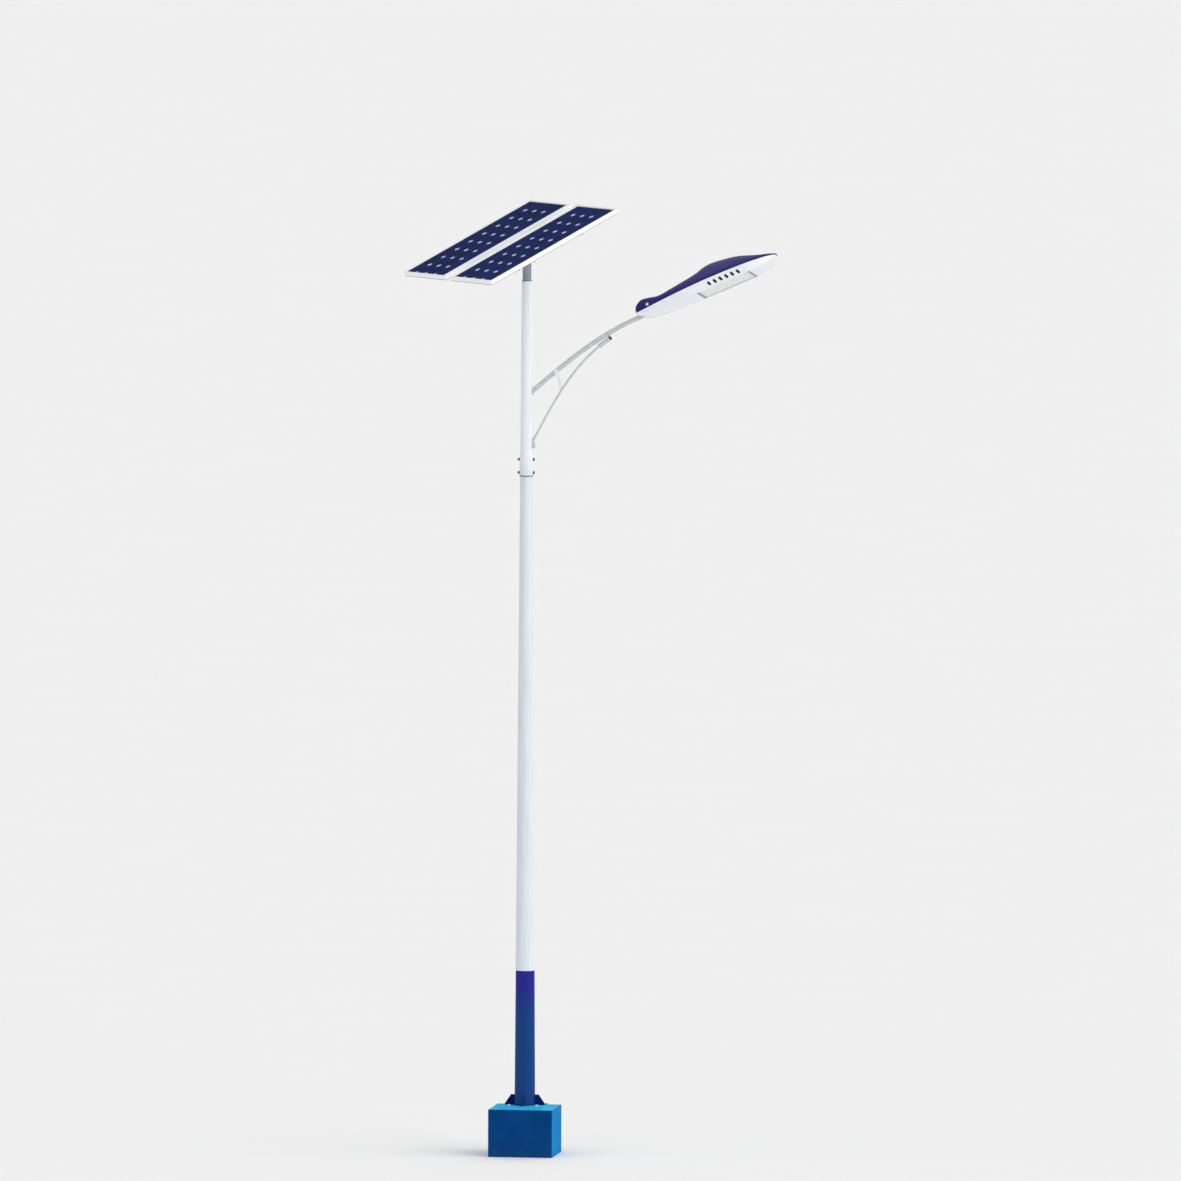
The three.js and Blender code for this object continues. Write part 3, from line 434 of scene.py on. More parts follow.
def plain_metal(name, dark, light, metallic, rough, grain, stretch):
    """Metal with streaks along its drawing direction and a fine grain."""
    made = Finish(name, Metallic=metallic, Roughness=rough)
    mottled(made, made.noise(grain, 5, stretch), dark, light)
    made.roughness(made.noise(grain * 0.6, 4, stretch), rough * 0.75, rough * 1.3)
    return made.bump(made.noise(grain * 0.15, 3, stretch), 0.03, 0.4).material


def grey_steel():
    made = Finish("grey satin paint", Roughness=0.45, Metallic=0.15)
    mottled(made, made.noise(40, 5), paint(126, 139, 155), paint(144, 157, 172))
    made.roughness(made.noise(12, 4), 0.38, 0.55)
    return made.bump(made.noise(2, 3), 0.06, 0.4).material


def navy_cover():
    """Violet-blue gloss, darker towards the neck, with painted shade along the seam and a painted highlight
    on the crown.
    """
    made = gloss_coat("navy powder coat with painted shade and highlight", 0.25, 0.25)
    height = made.along(HEAD_FRAME, 2)
    forward = made.between(made.along(HEAD_FRAME, 0), 60, 620)
    # painted shade: the colour low on the cover, by the seam, is darker, and the upper colour above it is
    # lighter
    painted_seam_shade = made.mix(forward, paint(30, 26, 98), paint(36, 31, 100))
    upper = made.mix(forward, paint(42, 40, 112), paint(66, 64, 122))
    body = made.mix(made.between(height, 30, 66), painted_seam_shade, upper)
    # painted highlight: the crown turns a paler grey-violet
    with_painted_crown_light = made.mix(made.between(height, 90, 145), body, paint(76, 77, 118))
    cloud = made.between(made.noise(120, 4), 0.25, 0.8)
    made.colour(made.mix(made.math("MULTIPLY", cloud, 0.18), with_painted_crown_light, paint(78, 78, 132)))
    made.roughness(made.noise(18, 5), 0.3, 0.48)
    return made.bump(made.noise(1.5, 2), 0.07, 0.35).material


def white_casting():
    made = Finish("white powder coat on casting", Roughness=0.36, Coat_Weight=0.2, Coat_Roughness=0.15)
    mottled(made, made.noise(70, 5), paint(230, 235, 242), paint(245, 247, 250))
    made.roughness(made.noise(16, 4), 0.3, 0.46)
    return made.bump(made.noise(2.2, 3), 0.1, 0.4).material


def anodised():
    """Pale anodising with the drawing lines of the extrusion and a painted shadow line along the bottom edge.
    """
    made = Finish("anodised aluminium", Metallic=0.1, Roughness=0.38)
    streaks = made.between(made.noise(2.5, 4, (12, 12, 1)), 0.3, 0.7)
    pale = made.mix(streaks, paint(241, 243, 244), paint(252, 252, 252))
    height = made.along(TABLE_FRAME, 2)
    # painted shadow: a grey line along the frame's bottom edge
    foot = made.between(height, RAIL["top"] + 7, RAIL["top"] + 4)
    made.colour(made.mix(foot, pale, paint(168, 171, 174)))
    made.roughness(made.noise(9, 5), 0.32, 0.46)
    return made.bump(made.noise(0.8, 2), 0.03, 0.4).material


def solar_cells():
    """Pseudo-square cells under glass: cut corners show the white sheet behind them."""
    made = gloss_coat("solar cells under glass", 0.06, 0.06)
    half_length = MODULE["length"] / 2 - CELLS["lip"] - CELLS["end_margin"]
    pitch_along = 2 * half_length / CELLS["rows"]
    inner = MODULE["gap"] / 2 + CELLS["lip"] + CELLS["inner_margin"]
    outer = MODULE["gap"] / 2 + MODULE["width"] - CELLS["lip"] - CELLS["outer_margin"]
    pitch_across = (outer - inner) / CELLS["columns"]
    along = made.along(TABLE_FRAME, 0)
    across = made.along(TABLE_FRAME, 1)
    u = made.math("DIVIDE", made.math("SUBTRACT", along, MODULE["centre"] - half_length), pitch_along)
    v = made.math("DIVIDE", made.math("SUBTRACT", made.math("ABSOLUTE", across), inner), pitch_across)
    from_edge_u = made.math("MULTIPLY", made.math("PINGPONG", u, 0.5), pitch_along)
    from_edge_v = made.math("MULTIPLY", made.math("PINGPONG", v, 0.5), pitch_across)
    corner = made.math("ADD", from_edge_u, from_edge_v)
    diamond = made.between(corner, 23.5, 20.5)
    gap = made.between(made.math("MINIMUM", from_edge_u, from_edge_v), 1.3, 0.9)
    inside_u = made.math("MINIMUM", u, made.math("SUBTRACT", float(CELLS["rows"]), u))
    inside_v = made.math("MINIMUM", v, made.math("SUBTRACT", float(CELLS["columns"]), v))
    margin = made.math("LESS_THAN", made.math("MINIMUM", inside_u, inside_v), 0.0)
    under_lip = made.math("MINIMUM", inside_v, made.math("SUBTRACT", float(CELLS["rows"]), u))
    diamond = made.math("MULTIPLY", diamond, made.math("GREATER_THAN", under_lip, 0.4))
    busbar = made.math("PINGPONG", made.math("SUBTRACT", v, 0.25), 0.25)
    busbar = made.between(made.math("MULTIPLY", busbar, pitch_across), 1.5, 1.1)
    finger = made.math("PINGPONG", made.math("MULTIPLY", along, 1 / 3.0), 0.5)

    cell = made.node("ShaderNodeCombineXYZ", made.math("FLOOR", u), made.math("FLOOR", v),
                     made.math("SIGN", across)).outputs[0]
    shade = made.node("ShaderNodeTexWhiteNoise", cell).outputs["Value"]
    silicon = made.mix(shade, paint(4, 21, 68), paint(12, 32, 92))
    silicon = made.mix(made.math("MULTIPLY", made.noise(40, 4), 0.35), silicon, paint(14, 30, 102))
    silicon = made.mix(made.math("MULTIPLY", finger, 0.16), silicon, paint(60, 84, 140))
    silicon = made.mix(made.math("MULTIPLY", busbar, 0.35), silicon, paint(120, 134, 168))
    silicon = made.mix(made.math("MULTIPLY", gap, 0.25), silicon, paint(110, 126, 170))
    sheet = made.mix(made.between(made.noise(60, 3), 0.3, 0.7), paint(176, 190, 222), paint(196, 208, 232))
    cells = made.mix(diamond, silicon, sheet)
    border = made.mix(made.between(made.noise(30, 3), 0.3, 0.7), paint(242, 245, 246), paint(250, 251, 251))
    made.colour(made.mix(margin, cells, border))
    made.roughness(made.noise(80, 4), 0.16, 0.3)
    return made.bump(made.noise(0.9, 2), 0.02, 0.3).material


def lens_glass():
    made = Finish("frosted lens glass", Roughness=0.2, Alpha=0.8, IOR=1.5)
    mottled(made, made.noise(50, 4), paint(246, 249, 247), paint(252, 253, 252))
    made.roughness(made.noise(25, 5), 0.15, 0.3)
    return made.bump(made.noise(90, 1), 0.05, 0.2).material


def plastic(name, dark, light, rough, grain):
    """Moulded plastic or rubber with a spark-eroded grain."""
    made = Finish(name, Roughness=rough)
    mottled(made, made.noise(35, 4), dark, light)
    made.roughness(made.noise(grain * 4, 4), rough * 0.85, min(1.0, rough * 1.15))
    return made.bump(made.noise(grain, 2), 0.06, 0.5).material


CABINET_PAINT_WITH_PAINTED_LIGHT = cabinet_paint_with_painted_light()
BLUE = blue_paint("blue powder coat", paint(2, 58, 116), paint(3, 66, 128))
# a darker copy of the blue: painted shade for the side gussets
SHADED_BLUE = blue_paint("blue powder coat with painted shade", paint(2, 22, 84), paint(3, 32, 98))
# a lit copy of the blue: the painted highlight on the flange
PAINTED_LIT_BLUE = blue_paint("painted_light_blue powder coat", paint(50, 182, 228), paint(66, 196, 238))
POLE = pole_paint()
ZINC = galvanised()
GREY = grey_steel()
NAVY = navy_cover()
WHITE = white_casting()
ANODISED = anodised()
CELL_GLASS = solar_cells()
LENS = lens_glass()
DARK = plain_metal("weathered zinc", paint(58, 60, 62), paint(88, 90, 93), 0.5, 0.5, 14, (1, 1, 1))
STAINLESS = plain_metal("stainless steel", paint(186, 190, 194), paint(216, 219, 222), 0.6, 0.3, 6, (3, 3, 1))
ALUMINIUM = plain_metal("mill finish aluminium", paint(172, 177, 181), paint(204, 208, 211), 0.5, 0.42, 10,
                        (6, 1, 1))
LEAD = plain_metal("lead alloy", paint(96, 99, 103), paint(128, 131, 135), 0.6, 0.55, 5, (1, 1, 1))
CASE = plastic("battery case plastic", paint(98, 103, 109), paint(114, 119, 125), 0.55, 1.2)
BLACK = plastic("black plastic", paint(22, 23, 25), paint(36, 37, 40), 0.6, 1.0)
RED = plastic("red plastic", paint(150, 28, 28), paint(182, 40, 36), 0.45, 1.0)
RUBBER = plastic("rubber", paint(16, 16, 17), paint(30, 30, 31), 0.85, 0.8)
OPTICS = plastic("optical plastic", paint(206, 212, 214), paint(226, 230, 231), 0.2, 3.0)
BOARD = plastic("white solder mask", paint(226, 230, 228), paint(240, 242, 240), 0.5, 1.5)


# ------------------------------------------------------------------ fasteners and welds
def hexagon(flats, angle):
    """Distance from the middle to a hexagon's side in that direction."""
    third = math.pi / 3
    return flats / 2 / math.cos((angle % third) - third / 2)


def hex_ring(start, direction, flats, at, chamfer=0, inside=False, steps=36):
    """A hexagon at a distance along an axis, with its corners moved along by the chamfer's sign, or the
    circle just inside it."""
    along = Vector(direction).normalized()
    side, other = across_axes(along)
    slope = math.tan(math.radians(25))
    points = []
    for step in range(steps):
        angle = 2 * math.pi * step / steps
        radius = flats / 2 * 0.96 if inside else hexagon(flats, angle)
        shift = chamfer * max(0.0, radius - flats / 2) * slope
        a, b = polar(radius, angle)
        points.append(Vector(start) + along * (at + shift) + side * a + other * b)
    return points


def hex_prism(shape, start, direction, flats, height, both_ends=False):
    """A hexagon head or nut with its corners turned off at the far end, or at both."""
    if both_ends:
        rings = [hex_ring(start, direction, flats, 0, inside=True),
                 hex_ring(start, direction, flats, 0.3, chamfer=1)]
    else:
        rings = [hex_ring(start, direction, flats, 0)]
    rings.append(hex_ring(start, direction, flats, height - 0.3, chamfer=-1))
    rings.append(hex_ring(start, direction, flats, height, inside=True))
    return shape.rings(rings)


def washer(shape, start, direction, bore, radius, thickness):
    edge = thickness * 0.25
    profile = ((0, bore), (0, radius - edge), (edge, radius), (thickness - edge, radius),
               (thickness, radius - edge), (thickness, bore))
    return shape.turned(profile, start, direction, 32, closed=True)


def bolt_head(shape, seat, direction, ring, flats, height):
    """A hexagon head on its washer; ring is the washer's bore, radius and thickness."""
    washer(shape, seat, direction, *ring)
    hex_prism(shape, Vector(seat) + Vector(direction) * ring[2], direction, flats, height)


def threaded(shape, start, direction, radius, length, pitch=1.5):
    """A shank end with rings for its thread."""
    profile = [(0, radius * 0.9)]
    turns = int(length / pitch)
    for turn in range(turns):
        profile.append(((turn + 0.25) * pitch, radius))
        profile.append(((turn + 0.75) * pitch, radius * 0.86))
    profile.append((turns * pitch, radius * 0.78))
    return shape.turned(profile, start, direction, 20)


def weld(shape, path, radius, closed=False):
    """A bead with the ripples of a hand weld, one point every few millimetres."""
    return shape.tube(path, radius, 10, closed, ripple=0.09)


def circle(centre, direction, radius, steps):
    side, other = across_axes(direction)
    points = []
    for step in range(steps):
        a, b = polar(radius, 2 * math.pi * step / steps)
        points.append(Vector(centre) + side * a + other * b)
    return points


def line(start, end, pitch=3.0):
    start, end = Vector(start), Vector(end)
    steps = max(2, int((end - start).length / pitch))
    return [start.lerp(end, step / steps) for step in range(steps + 1)]


def box_of(node):
    """The corners of a CAD node's box in millimetres."""
    low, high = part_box(node)
    return low / MM, high / MM


# ------------------------------------------------------------------ battery cabinet
def cabinet():
    dress("cabinet_shell", CABINET_PAINT_WITH_PAINTED_LIGHT, 1.2)
    dress("cabinet_door", BLUE, 1.0)
    # painted highlight: the flange takes the lit light blue of the cabinet's top
    dress("pole_flange", PAINTED_LIT_BLUE, 1.5)
    for node in ("cabinet_base_plate", "cabinet_frame", "battery_tray", "battery_strap"):
        dress(node, ZINC, 0.6)
    dress("door_gasket", RUBBER, 0.8)
    dress("door_hinge_pin", STAINLESS)
    dress("door_lock", STAINLESS, 0.6)


def door_louvres():
    """Two rows of pressed vents that let the cabinet breathe."""
    shape = Shape()
    for row in range(5):
        for column in (-1, 1):
            height = DOOR["middle"] + 62 + row * 14
            rings = []
            for step in range(9):
                turn = math.pi * step / 8
                half = 46 * math.sin(turn) ** 0.35 if 0 < step < 8 else 2
                z = height - 5 * math.cos(turn)
                root, crest = DOOR["face"] - 0.5, DOOR["face"] + 0.1 + 4.5 * math.sin(turn)
                corners = ((-half, root), (half, root), (half * 0.94, crest), (-half * 0.94, crest))
                rings.append([(column * 60 + x, y, z) for x, y in corners])
            shape.rings(rings)
    piece(shape, "door_louvres", "cabinet_door", BLUE, angle=50)


def lock_escutcheon():
    shape = Shape()
    centre = (DOOR["lock_x"], DOOR["face"] - 0.1, DOOR["middle"])
    profile = ((0, 17), (0, 24), (1.5, 24.4), (2.4, 23), (2.4, 17))
    shape.turned(profile, centre, (0, 1, 0), 48, closed=True)
    piece(shape, "lock_escutcheon", "cabinet_door", STAINLESS)


def batteries():
    for side, number in ((-1, 1), (1, 2)):
        battery(side, number)


def battery(side, number):
    """A sealed battery: ribbed case, stepped lid, vent caps and two terminal posts."""
    half = BATTERY["length"] / 2
    near = BATTERY["spacing"] / 2
    far = near + BATTERY["width"]
    floor, top = BATTERY["floor"], BATTERY["floor"] + BATTERY["height"]
    span = (near, far) if side > 0 else (-far, -near)
    case = Shape()
    case.box((-half + 2, span[0] + 2, floor), (half - 2, span[1] - 2, top - 38))
    case.box((-half, span[0], top - 40), (half, span[1], top - 6))
    case.box((-half + 12, span[0] + 12, top - 7), (half - 12, span[1] - 12, top - 0.4))
    for rib in range(11):
        x = -half + 20 + rib * (BATTERY["length"] - 40) / 10
        case.box((x - 2, span[0] + 0.4, floor + 12), (x + 2, span[1] - 0.4, top - 39))
    piece(case, f"battery_case_{number}", "column", CASE, bevel=1.0,
          stands_for=(f"battery_{number}",))
    posts = Shape()
    for end in (-135, 135):
        start = (end, side * 145, top - 3)
        posts.turned(((0, 12), (3, 12), (3.4, 8.6), (11, 7.8), (12, 7)), start, UP, 32)
    piece(posts, f"battery_posts_{number}", "column", LEAD)
    caps = Shape()
    for cap in range(6):
        start = (-95 + cap * 38, side * (near + 40), top - 2)
        caps.turned(((0, 9), (3.5, 9), (4.2, 8), (4.2, 3), (3.0, 2.5), (3.0, 0)), start, UP, 28)
    piece(caps, f"battery_vent_caps_{number}", "column", RED)


def strap_nuts():
    shape = Shape()
    top = BATTERY["floor"] + BATTERY["height"] + 4.3
    for side in (-1, 1):
        start = (0, side * (BATTERY["width"] + BATTERY["spacing"] / 2 + 13), top)
        washer(shape, start, UP, 4.2, 9, 1.6)
        hex_prism(shape, Vector(start) + Vector((0, 0, 1.6)), UP, 13, 6.5, both_ends=True)
        threaded(shape, Vector(start) + Vector((0, 0, 8)), UP, 4, 5)
    piece(shape, "strap_nuts", "column", STAINLESS)


def charge_controller():
    """A finned aluminium case with a front panel, indicator lamps and a terminal strip."""
    low, high = box_of("charge_controller")
    case = Shape()
    case.box((low.x, low.y, low.z), (high.x, high.y - 6, high.z))
    for fin in range(15):
        x = low.x + 4 + fin * (high.x - low.x - 8) / 14
        case.box((x - 1, low.y - 9, low.z + 4), (x + 1, low.y + 0.5, high.z - 4))
    piece(case, "controller_case", "column", ALUMINIUM, bevel=0.6,
          stands_for=("charge_controller",))
    front = Shape()
    button_low, button_high = box_of("controller_button")
    middle = (button_low + button_high) / 2
    front.box((low.x + 1, high.y - 6.5, low.z + 22), (middle.x - 12, high.y, high.z - 1))
    front.box((low.x + 1, high.y - 6.5, low.z + 1), (high.x - 1, high.y - 2, low.z + 9))
    ring = ((0, 7), (0, 10), (5, 10), (6.4, 9), (6.4, 7))
    front.turned(ring, (middle.x, high.y - 6.4, middle.z), (0, 1, 0), 32, closed=True)
    piece(front, "controller_panel", "column", BLACK, bevel=0.5)
    lamps = Shape()
    for lamp in range(3):
        start = (low.x + 22 + lamp * 22, high.y - 0.5, high.z - 16)
        lamps.turned(((0, 2.6), (1.5, 2.6), (2.4, 1.8), (2.8, 0)), start, (0, 1, 0), 20)
    piece(lamps, "controller_lamps", "column", RED)
    screws = Shape()
    for terminal in range(6):
        start = (low.x + 18 + terminal * 22, high.y - 2.2, low.z + 5)
        screws.turned(((0, 2.8), (1.6, 2.8), (2.2, 2.2), (2.2, 0)), start, (0, 1, 0), 20)
    piece(screws, "controller_terminals", "column", STAINLESS)


def controller_button():
    low, high = box_of("controller_button")
    centre = ((low.x + high.x) / 2, low.y, (low.z + high.z) / 2)
    radius, length = (high.x - low.x) / 2, high.y - low.y
    profile = [(0, radius)]
    for step in range(7):
        turn = math.pi / 2 * step / 6
        profile.append((length - 1.4 + 1.4 * math.sin(turn), radius - 1.4 + 1.4 * math.cos(turn)))
    profile.append((length - 0.3, radius * 0.4))
    profile.append((length - 0.5, 0))
    shape = Shape().turned(profile, centre, (0, 1, 0), 36)
    piece(shape, "controller_push_button", "controller_button", RED,
          stands_for=("controller_button",))


# ------------------------------------------------------------------ pole
def flange_fixings():
    bolts = FLANGE["bolt"]
    places = ((-bolts, -bolts), (bolts, -bolts), (bolts, bolts), (-bolts, bolts))
    for number, (x, y) in enumerate(places, 1):
        shape = Shape()
        start = Vector((x, y, FLANGE["top"]))
        bolt_head(shape, start, UP, (8.5, 15, 2.4), 24, 9.6)
        shape.turned(((0, 8), (30, 8)), start + Vector((0, 0, 3)), DOWN, 24)
        piece(shape, f"flange_fixing_{number}", "column", STAINLESS,
              stands_for=(f"flange_bolt_{number}",))


def pole_radius(height):
    """Outside radius of the lower pole."""
    share = (height - LOWER_POLE["bottom"]) / (LOWER_POLE["top"] - LOWER_POLE["bottom"])
    return LOWER_POLE["bottom_radius"] + share * (LOWER_POLE["top_radius"] - LOWER_POLE["bottom_radius"])


def upper_radius(height):
    share = (height - UPPER_POLE["shoulder"]) / (UPPER_POLE["top"] - UPPER_POLE["shoulder"])
    return UPPER_POLE["bottom_radius"] + share * (UPPER_POLE["top_radius"] - UPPER_POLE["bottom_radius"])


def poles():
    wall = LOWER_POLE["wall"]
    low, high = LOWER_POLE["bottom"], LOWER_POLE["top"]
    profile = [(low, LOWER_POLE["bottom_radius"] - wall), (low, LOWER_POLE["bottom_radius"])]
    for step in range(1, 24):
        height = low + (high - low) * step / 24
        profile.append((height, pole_radius(height)))
    profile += [(high, LOWER_POLE["top_radius"]), (high, LOWER_POLE["top_radius"] - wall)]
    shape = Shape().turned(profile, ORIGIN, UP, 96, closed=True)
    piece(shape, "lower_shaft", "column", POLE, stands_for=("lower_pole",))

    bottom, top, radius, bore = SLEEVE["bottom"], SLEEVE["top"], SLEEVE["radius"], SLEEVE["bore"]
    shoulder, high = UPPER_POLE["shoulder"], UPPER_POLE["top"]
    small = UPPER_POLE["bottom_radius"]
    profile = [(bottom, bore), (bottom, radius - 1), (bottom + 1, radius), (top - 4, radius)]
    for step in range(1, 7):
        share = step / 6
        ease = share * share * (3 - 2 * share)
        profile.append((top - 4 + (shoulder + 4 - top) * share, radius + (small - radius) * ease))
    for step in range(1, 10):
        height = shoulder + (high - 1 - shoulder) * step / 9
        profile.append((height, upper_radius(height)))
    profile += [(high, UPPER_POLE["top_radius"] - 1), (high, UPPER_POLE["bore"])]
    profile += [(shoulder, small - 3.6), (top, bore)]
    shape = Shape().turned(profile, ORIGIN, UP, 96, closed=True)
    piece(shape, "upper_shaft", "column", POLE, stands_for=("upper_pole",))


def pole_seams():
    """The long weld down the back of each tapered tube, and the rim line under the sleeve."""
    shape = Shape()
    for low, high, radius in ((LOWER_POLE["bottom"] + 4, SLEEVE["bottom"] - 3, pole_radius),
                              (UPPER_POLE["shoulder"] + 4, UPPER_POLE["top"] - 4, upper_radius)):
        path = []
        steps = int((high - low) / 20)
        for step in range(steps + 1):
            height = low + (high - low) * step / steps
            path.append((0, radius(height) - 0.5, height))
        shape.tube(path, 1.6, 8, ripple=0.04)
    piece(shape, "pole_seams", "column", POLE)
    rim = Shape()
    profile = ((0, SLEEVE["bore"]), (0, SLEEVE["radius"] + 0.4), (1.2, SLEEVE["radius"] + 1.4),
               (5, SLEEVE["radius"] + 1.4), (6.2, SLEEVE["radius"] - 0.5))
    rim.turned(profile, (0, 0, SLEEVE["bottom"] - 0.6), UP, 96, closed=True)
    piece(rim, "sleeve_rim", "column", DARK)


def sleeve_fixings():
    for number, height in enumerate(SLEEVE["bolt_heights"], 1):
        seat = SLEEVE["radius"] + 0.2
        head = Shape()
        bolt_head(head, (seat, 0, height), (1, 0, 0), (6.5, 12, 2), 19, 7.5)
        head.turned(((0, 6), (2 * seat + 4, 6)), (seat + 3, 0, height), (-1, 0, 0), 24)
        threaded(head, (-seat - 3, 0, height), (-1, 0, 0), 6, 12)
        piece(head, f"sleeve_screw_{number}", "column", DARK,
              stands_for=(f"sleeve_bolt_{number}",))
        nut = Shape()
        hex_prism(nut, (-seat - 0.6, 0, height), (-1, 0, 0), 19, 10, both_ends=True)
        piece(nut, f"sleeve_lock_nut_{number}", "column", DARK,
              stands_for=(f"sleeve_nut_{number}",))


def gussets():
    """Flat webs with rounded edges, welded to the shaft and the flange."""
    # painted shade: gussets 1 and 3, facing +X and -X, take the darker copy of the blue
    for number, coat in enumerate((SHADED_BLUE, BLUE, SHADED_BLUE, BLUE), 1):
        dress(f"gusset_{number}", coat, 1.0)
    beads = Shape()
    foot = FLANGE["top"] + 1
    weld(beads, circle((0, 0, foot), UP, pole_radius(foot) + 1.5, 132), 4, closed=True)
    for number in range(4):
        turn = Matrix.Rotation(number * math.pi / 2, 3, "Z")
        for side in (-1, 1):
            y = side * (GUSSET["half"] + 0.6)
            root = pole_radius(foot) + 2
            along_foot = line((root, y, foot), (GUSSET["reach"] - 3, y, foot))
            up_shaft = line((root - 1, y, foot), (root - 1.6, y, foot + GUSSET["height"] - 2))
            for path in (along_foot, up_shaft):
                weld(beads, [turn @ point for point in path], 2.6)
    piece(beads, "foot_welds", "column", BLUE, angle=60)


def azimuth_lock():
    low, high = box_of("azimuth_lock_bolt")
    middle = (low + high) / 2
    seat = upper_radius(middle.z) + 0.6
    shape = Shape()
    bolt_head(shape, (0, seat, middle.z), (0, 1, 0), (5.4, 10, 1.6), 16, 6.4)
    shape.turned(((0, 5), (seat - MAST["radius"], 5)), (0, seat + 1, middle.z), (0, -1, 0), 24)
    piece(shape, "azimuth_lock_screw", "column", STAINLESS, stands_for=("azimuth_lock_bolt",))


# ------------------------------------------------------------------ arm, brace and strut
def slope_vector(degrees):
    return Vector((math.cos(math.radians(degrees)), 0, math.sin(math.radians(degrees))))


def bent_line(start, end, start_slope, end_slope, steps):
    """Points along a curve that leaves one end at one slope and reaches the other at another."""
    start, end = Vector(start), Vector(end)
    reach = (end - start).length / 3
    first, second = start + slope_vector(start_slope) * reach, end - slope_vector(end_slope) * reach
    points = []
    for step in range(steps + 1):
        t = step / steps
        s = 1 - t
        points.append(start * s ** 3 + first * (3 * s * s * t) + second * (3 * s * t * t) + end * t ** 3)
    return points


def head_origin():
    return HEAD_FRAME.translation / MM


def arm_line(steps=48):
    return bent_line((ARM["root_x"], 0, ARM["root"]), head_origin(), ARM["slope"], HEAD["pitch"], steps)


def brace_line(steps=40):
    tip = Vector((BRACE["reach"], 0, head_origin().z - BRACE["drop"]))
    end = tip - slope_vector(SOCKET["slope"]) * (SOCKET["length"] - 40)
    return bent_line((BRACE["root_x"], 0, BRACE["root"]), end, BRACE["slope"], SOCKET["slope"], steps), tip


def arm():
    path = arm_line()
    path += [head_origin() + slope_vector(HEAD["pitch"]) * distance for distance in (50, 100, ARM["spigot"])]
    shape = Shape().tube(path, ARM["radius"], 48)
    piece(shape, "arm", "column", ZINC, stands_for=("arm_tube",))


def brace():
    path, tip = brace_line()
    rod = Shape().tube(path, BRACE["radius"], 32)
    piece(rod, "brace_rod", "column", ZINC, stands_for=("arm_brace",))
    length, radius = SOCKET["length"] - SOCKET["cap"] + 3, SOCKET["radius"] - 0.4
    bore = radius - 2.5
    profile = ((0, bore), (0, radius - 1), (1, radius),
               (length - 1, radius), (length, radius - 1), (length, bore))
    start = tip - slope_vector(SOCKET["slope"]) * SOCKET["length"]
    shape = Shape().turned(profile, start, slope_vector(SOCKET["slope"]), 40, closed=True)
    piece(shape, "brace_ferrule", "column", ZINC, stands_for=("brace_socket",))
    cap, rim = SOCKET["cap"], SOCKET["radius"]
    profile = ((0, bore - 0.3), (0, rim - 0.6), (0.6, rim), (cap - 2, rim),
               (cap - 0.6, rim - 0.8), (cap, rim - 3), (cap, 0))
    start = tip - slope_vector(SOCKET["slope"]) * cap
    shape = Shape().turned(profile, start, slope_vector(SOCKET["slope"]), 40)
    piece(shape, "brace_ferrule_cap", "column", DARK)


def nearest(path, reach):
    """The point of a path at that distance from the pole, and its direction there."""
    index = min(range(1, len(path) - 1), key=lambda i: abs(path[i].x - reach))
    return path[index], (path[index + 1] - path[index - 1]).normalized()


def strut():
    """The flat prop, with the clamp band that holds it to the arm."""
    dress("brace_strut", POLE, 0.8)
    dress("brace_lug", ZINC, 1.0)
    centre, along = nearest(arm_line(200), STRUT_TOP["reach"])
    width = STRUT_TOP["collar"]
    inside = ARM["radius"] + 0.2
    outside = inside + 2.5
    profile = ((0, inside), (0, outside - 0.6), (0.6, outside),
               (width - 0.6, outside), (width, outside - 0.6), (width, inside))
    band = Shape().turned(profile, centre - along * (width / 2), along, 48, closed=True)
    for side in (-1, 1):
        base = centre + Vector((0, side * (outside + 7), 0))
        across = Vector((0, side, 0))
        band.tube([centre + across * (outside - 1), base + across], 7, 16)
        hex_prism(band, base + across, across, 12, 5)
    piece(band, "strut_clamp_band", "column", POLE)


def arm_welds():
    shape = Shape()
    saddle_weld(shape, ARM, 1.5)
    saddle_weld(shape, BRACE, 1.2)
    tip = brace_line()[1]
    ferrule = slope_vector(SOCKET["slope"])
    mouth = tip - ferrule * (SOCKET["length"] + 0.5)
    weld(shape, circle(mouth, ferrule, BRACE["radius"] + 2, 24), 2.4, closed=True)
    under, along = nearest(arm_line(200), tip.x - 48)
    down = along.cross(Vector((0, 1, 0)))
    for side in (-1, 1):
        offset = down * (ARM["radius"] - 1.5) + Vector((0, side * 9, 0))
        weld(shape, line(under - along * 38 + offset, under + along * 34 + offset), 2.6)
    piece(shape, "arm_welds", "column", ZINC, angle=60)


def saddle_weld(shape, member, clear):
    """The bead where a sloping round member meets the upper shaft."""
    start = Vector((member["root_x"], 0, member["root"]))
    along = slope_vector(member["slope"])
    side = Vector((0, 1, 0))
    other = along.cross(side)
    path = []
    steps = int(2 * math.pi * member["radius"] / 3)
    for step in range(steps):
        a, b = polar(member["radius"] + clear, 2 * math.pi * step / steps)
        point = start + side * a + other * b
        reach = 0.0
        while Vector((point + along * reach).xy).length < upper_radius(member["root"]) + 0.4 and reach < 120:
            reach += 0.5
        path.append(point + along * reach)
    return weld(shape, path, 2.8, closed=True)


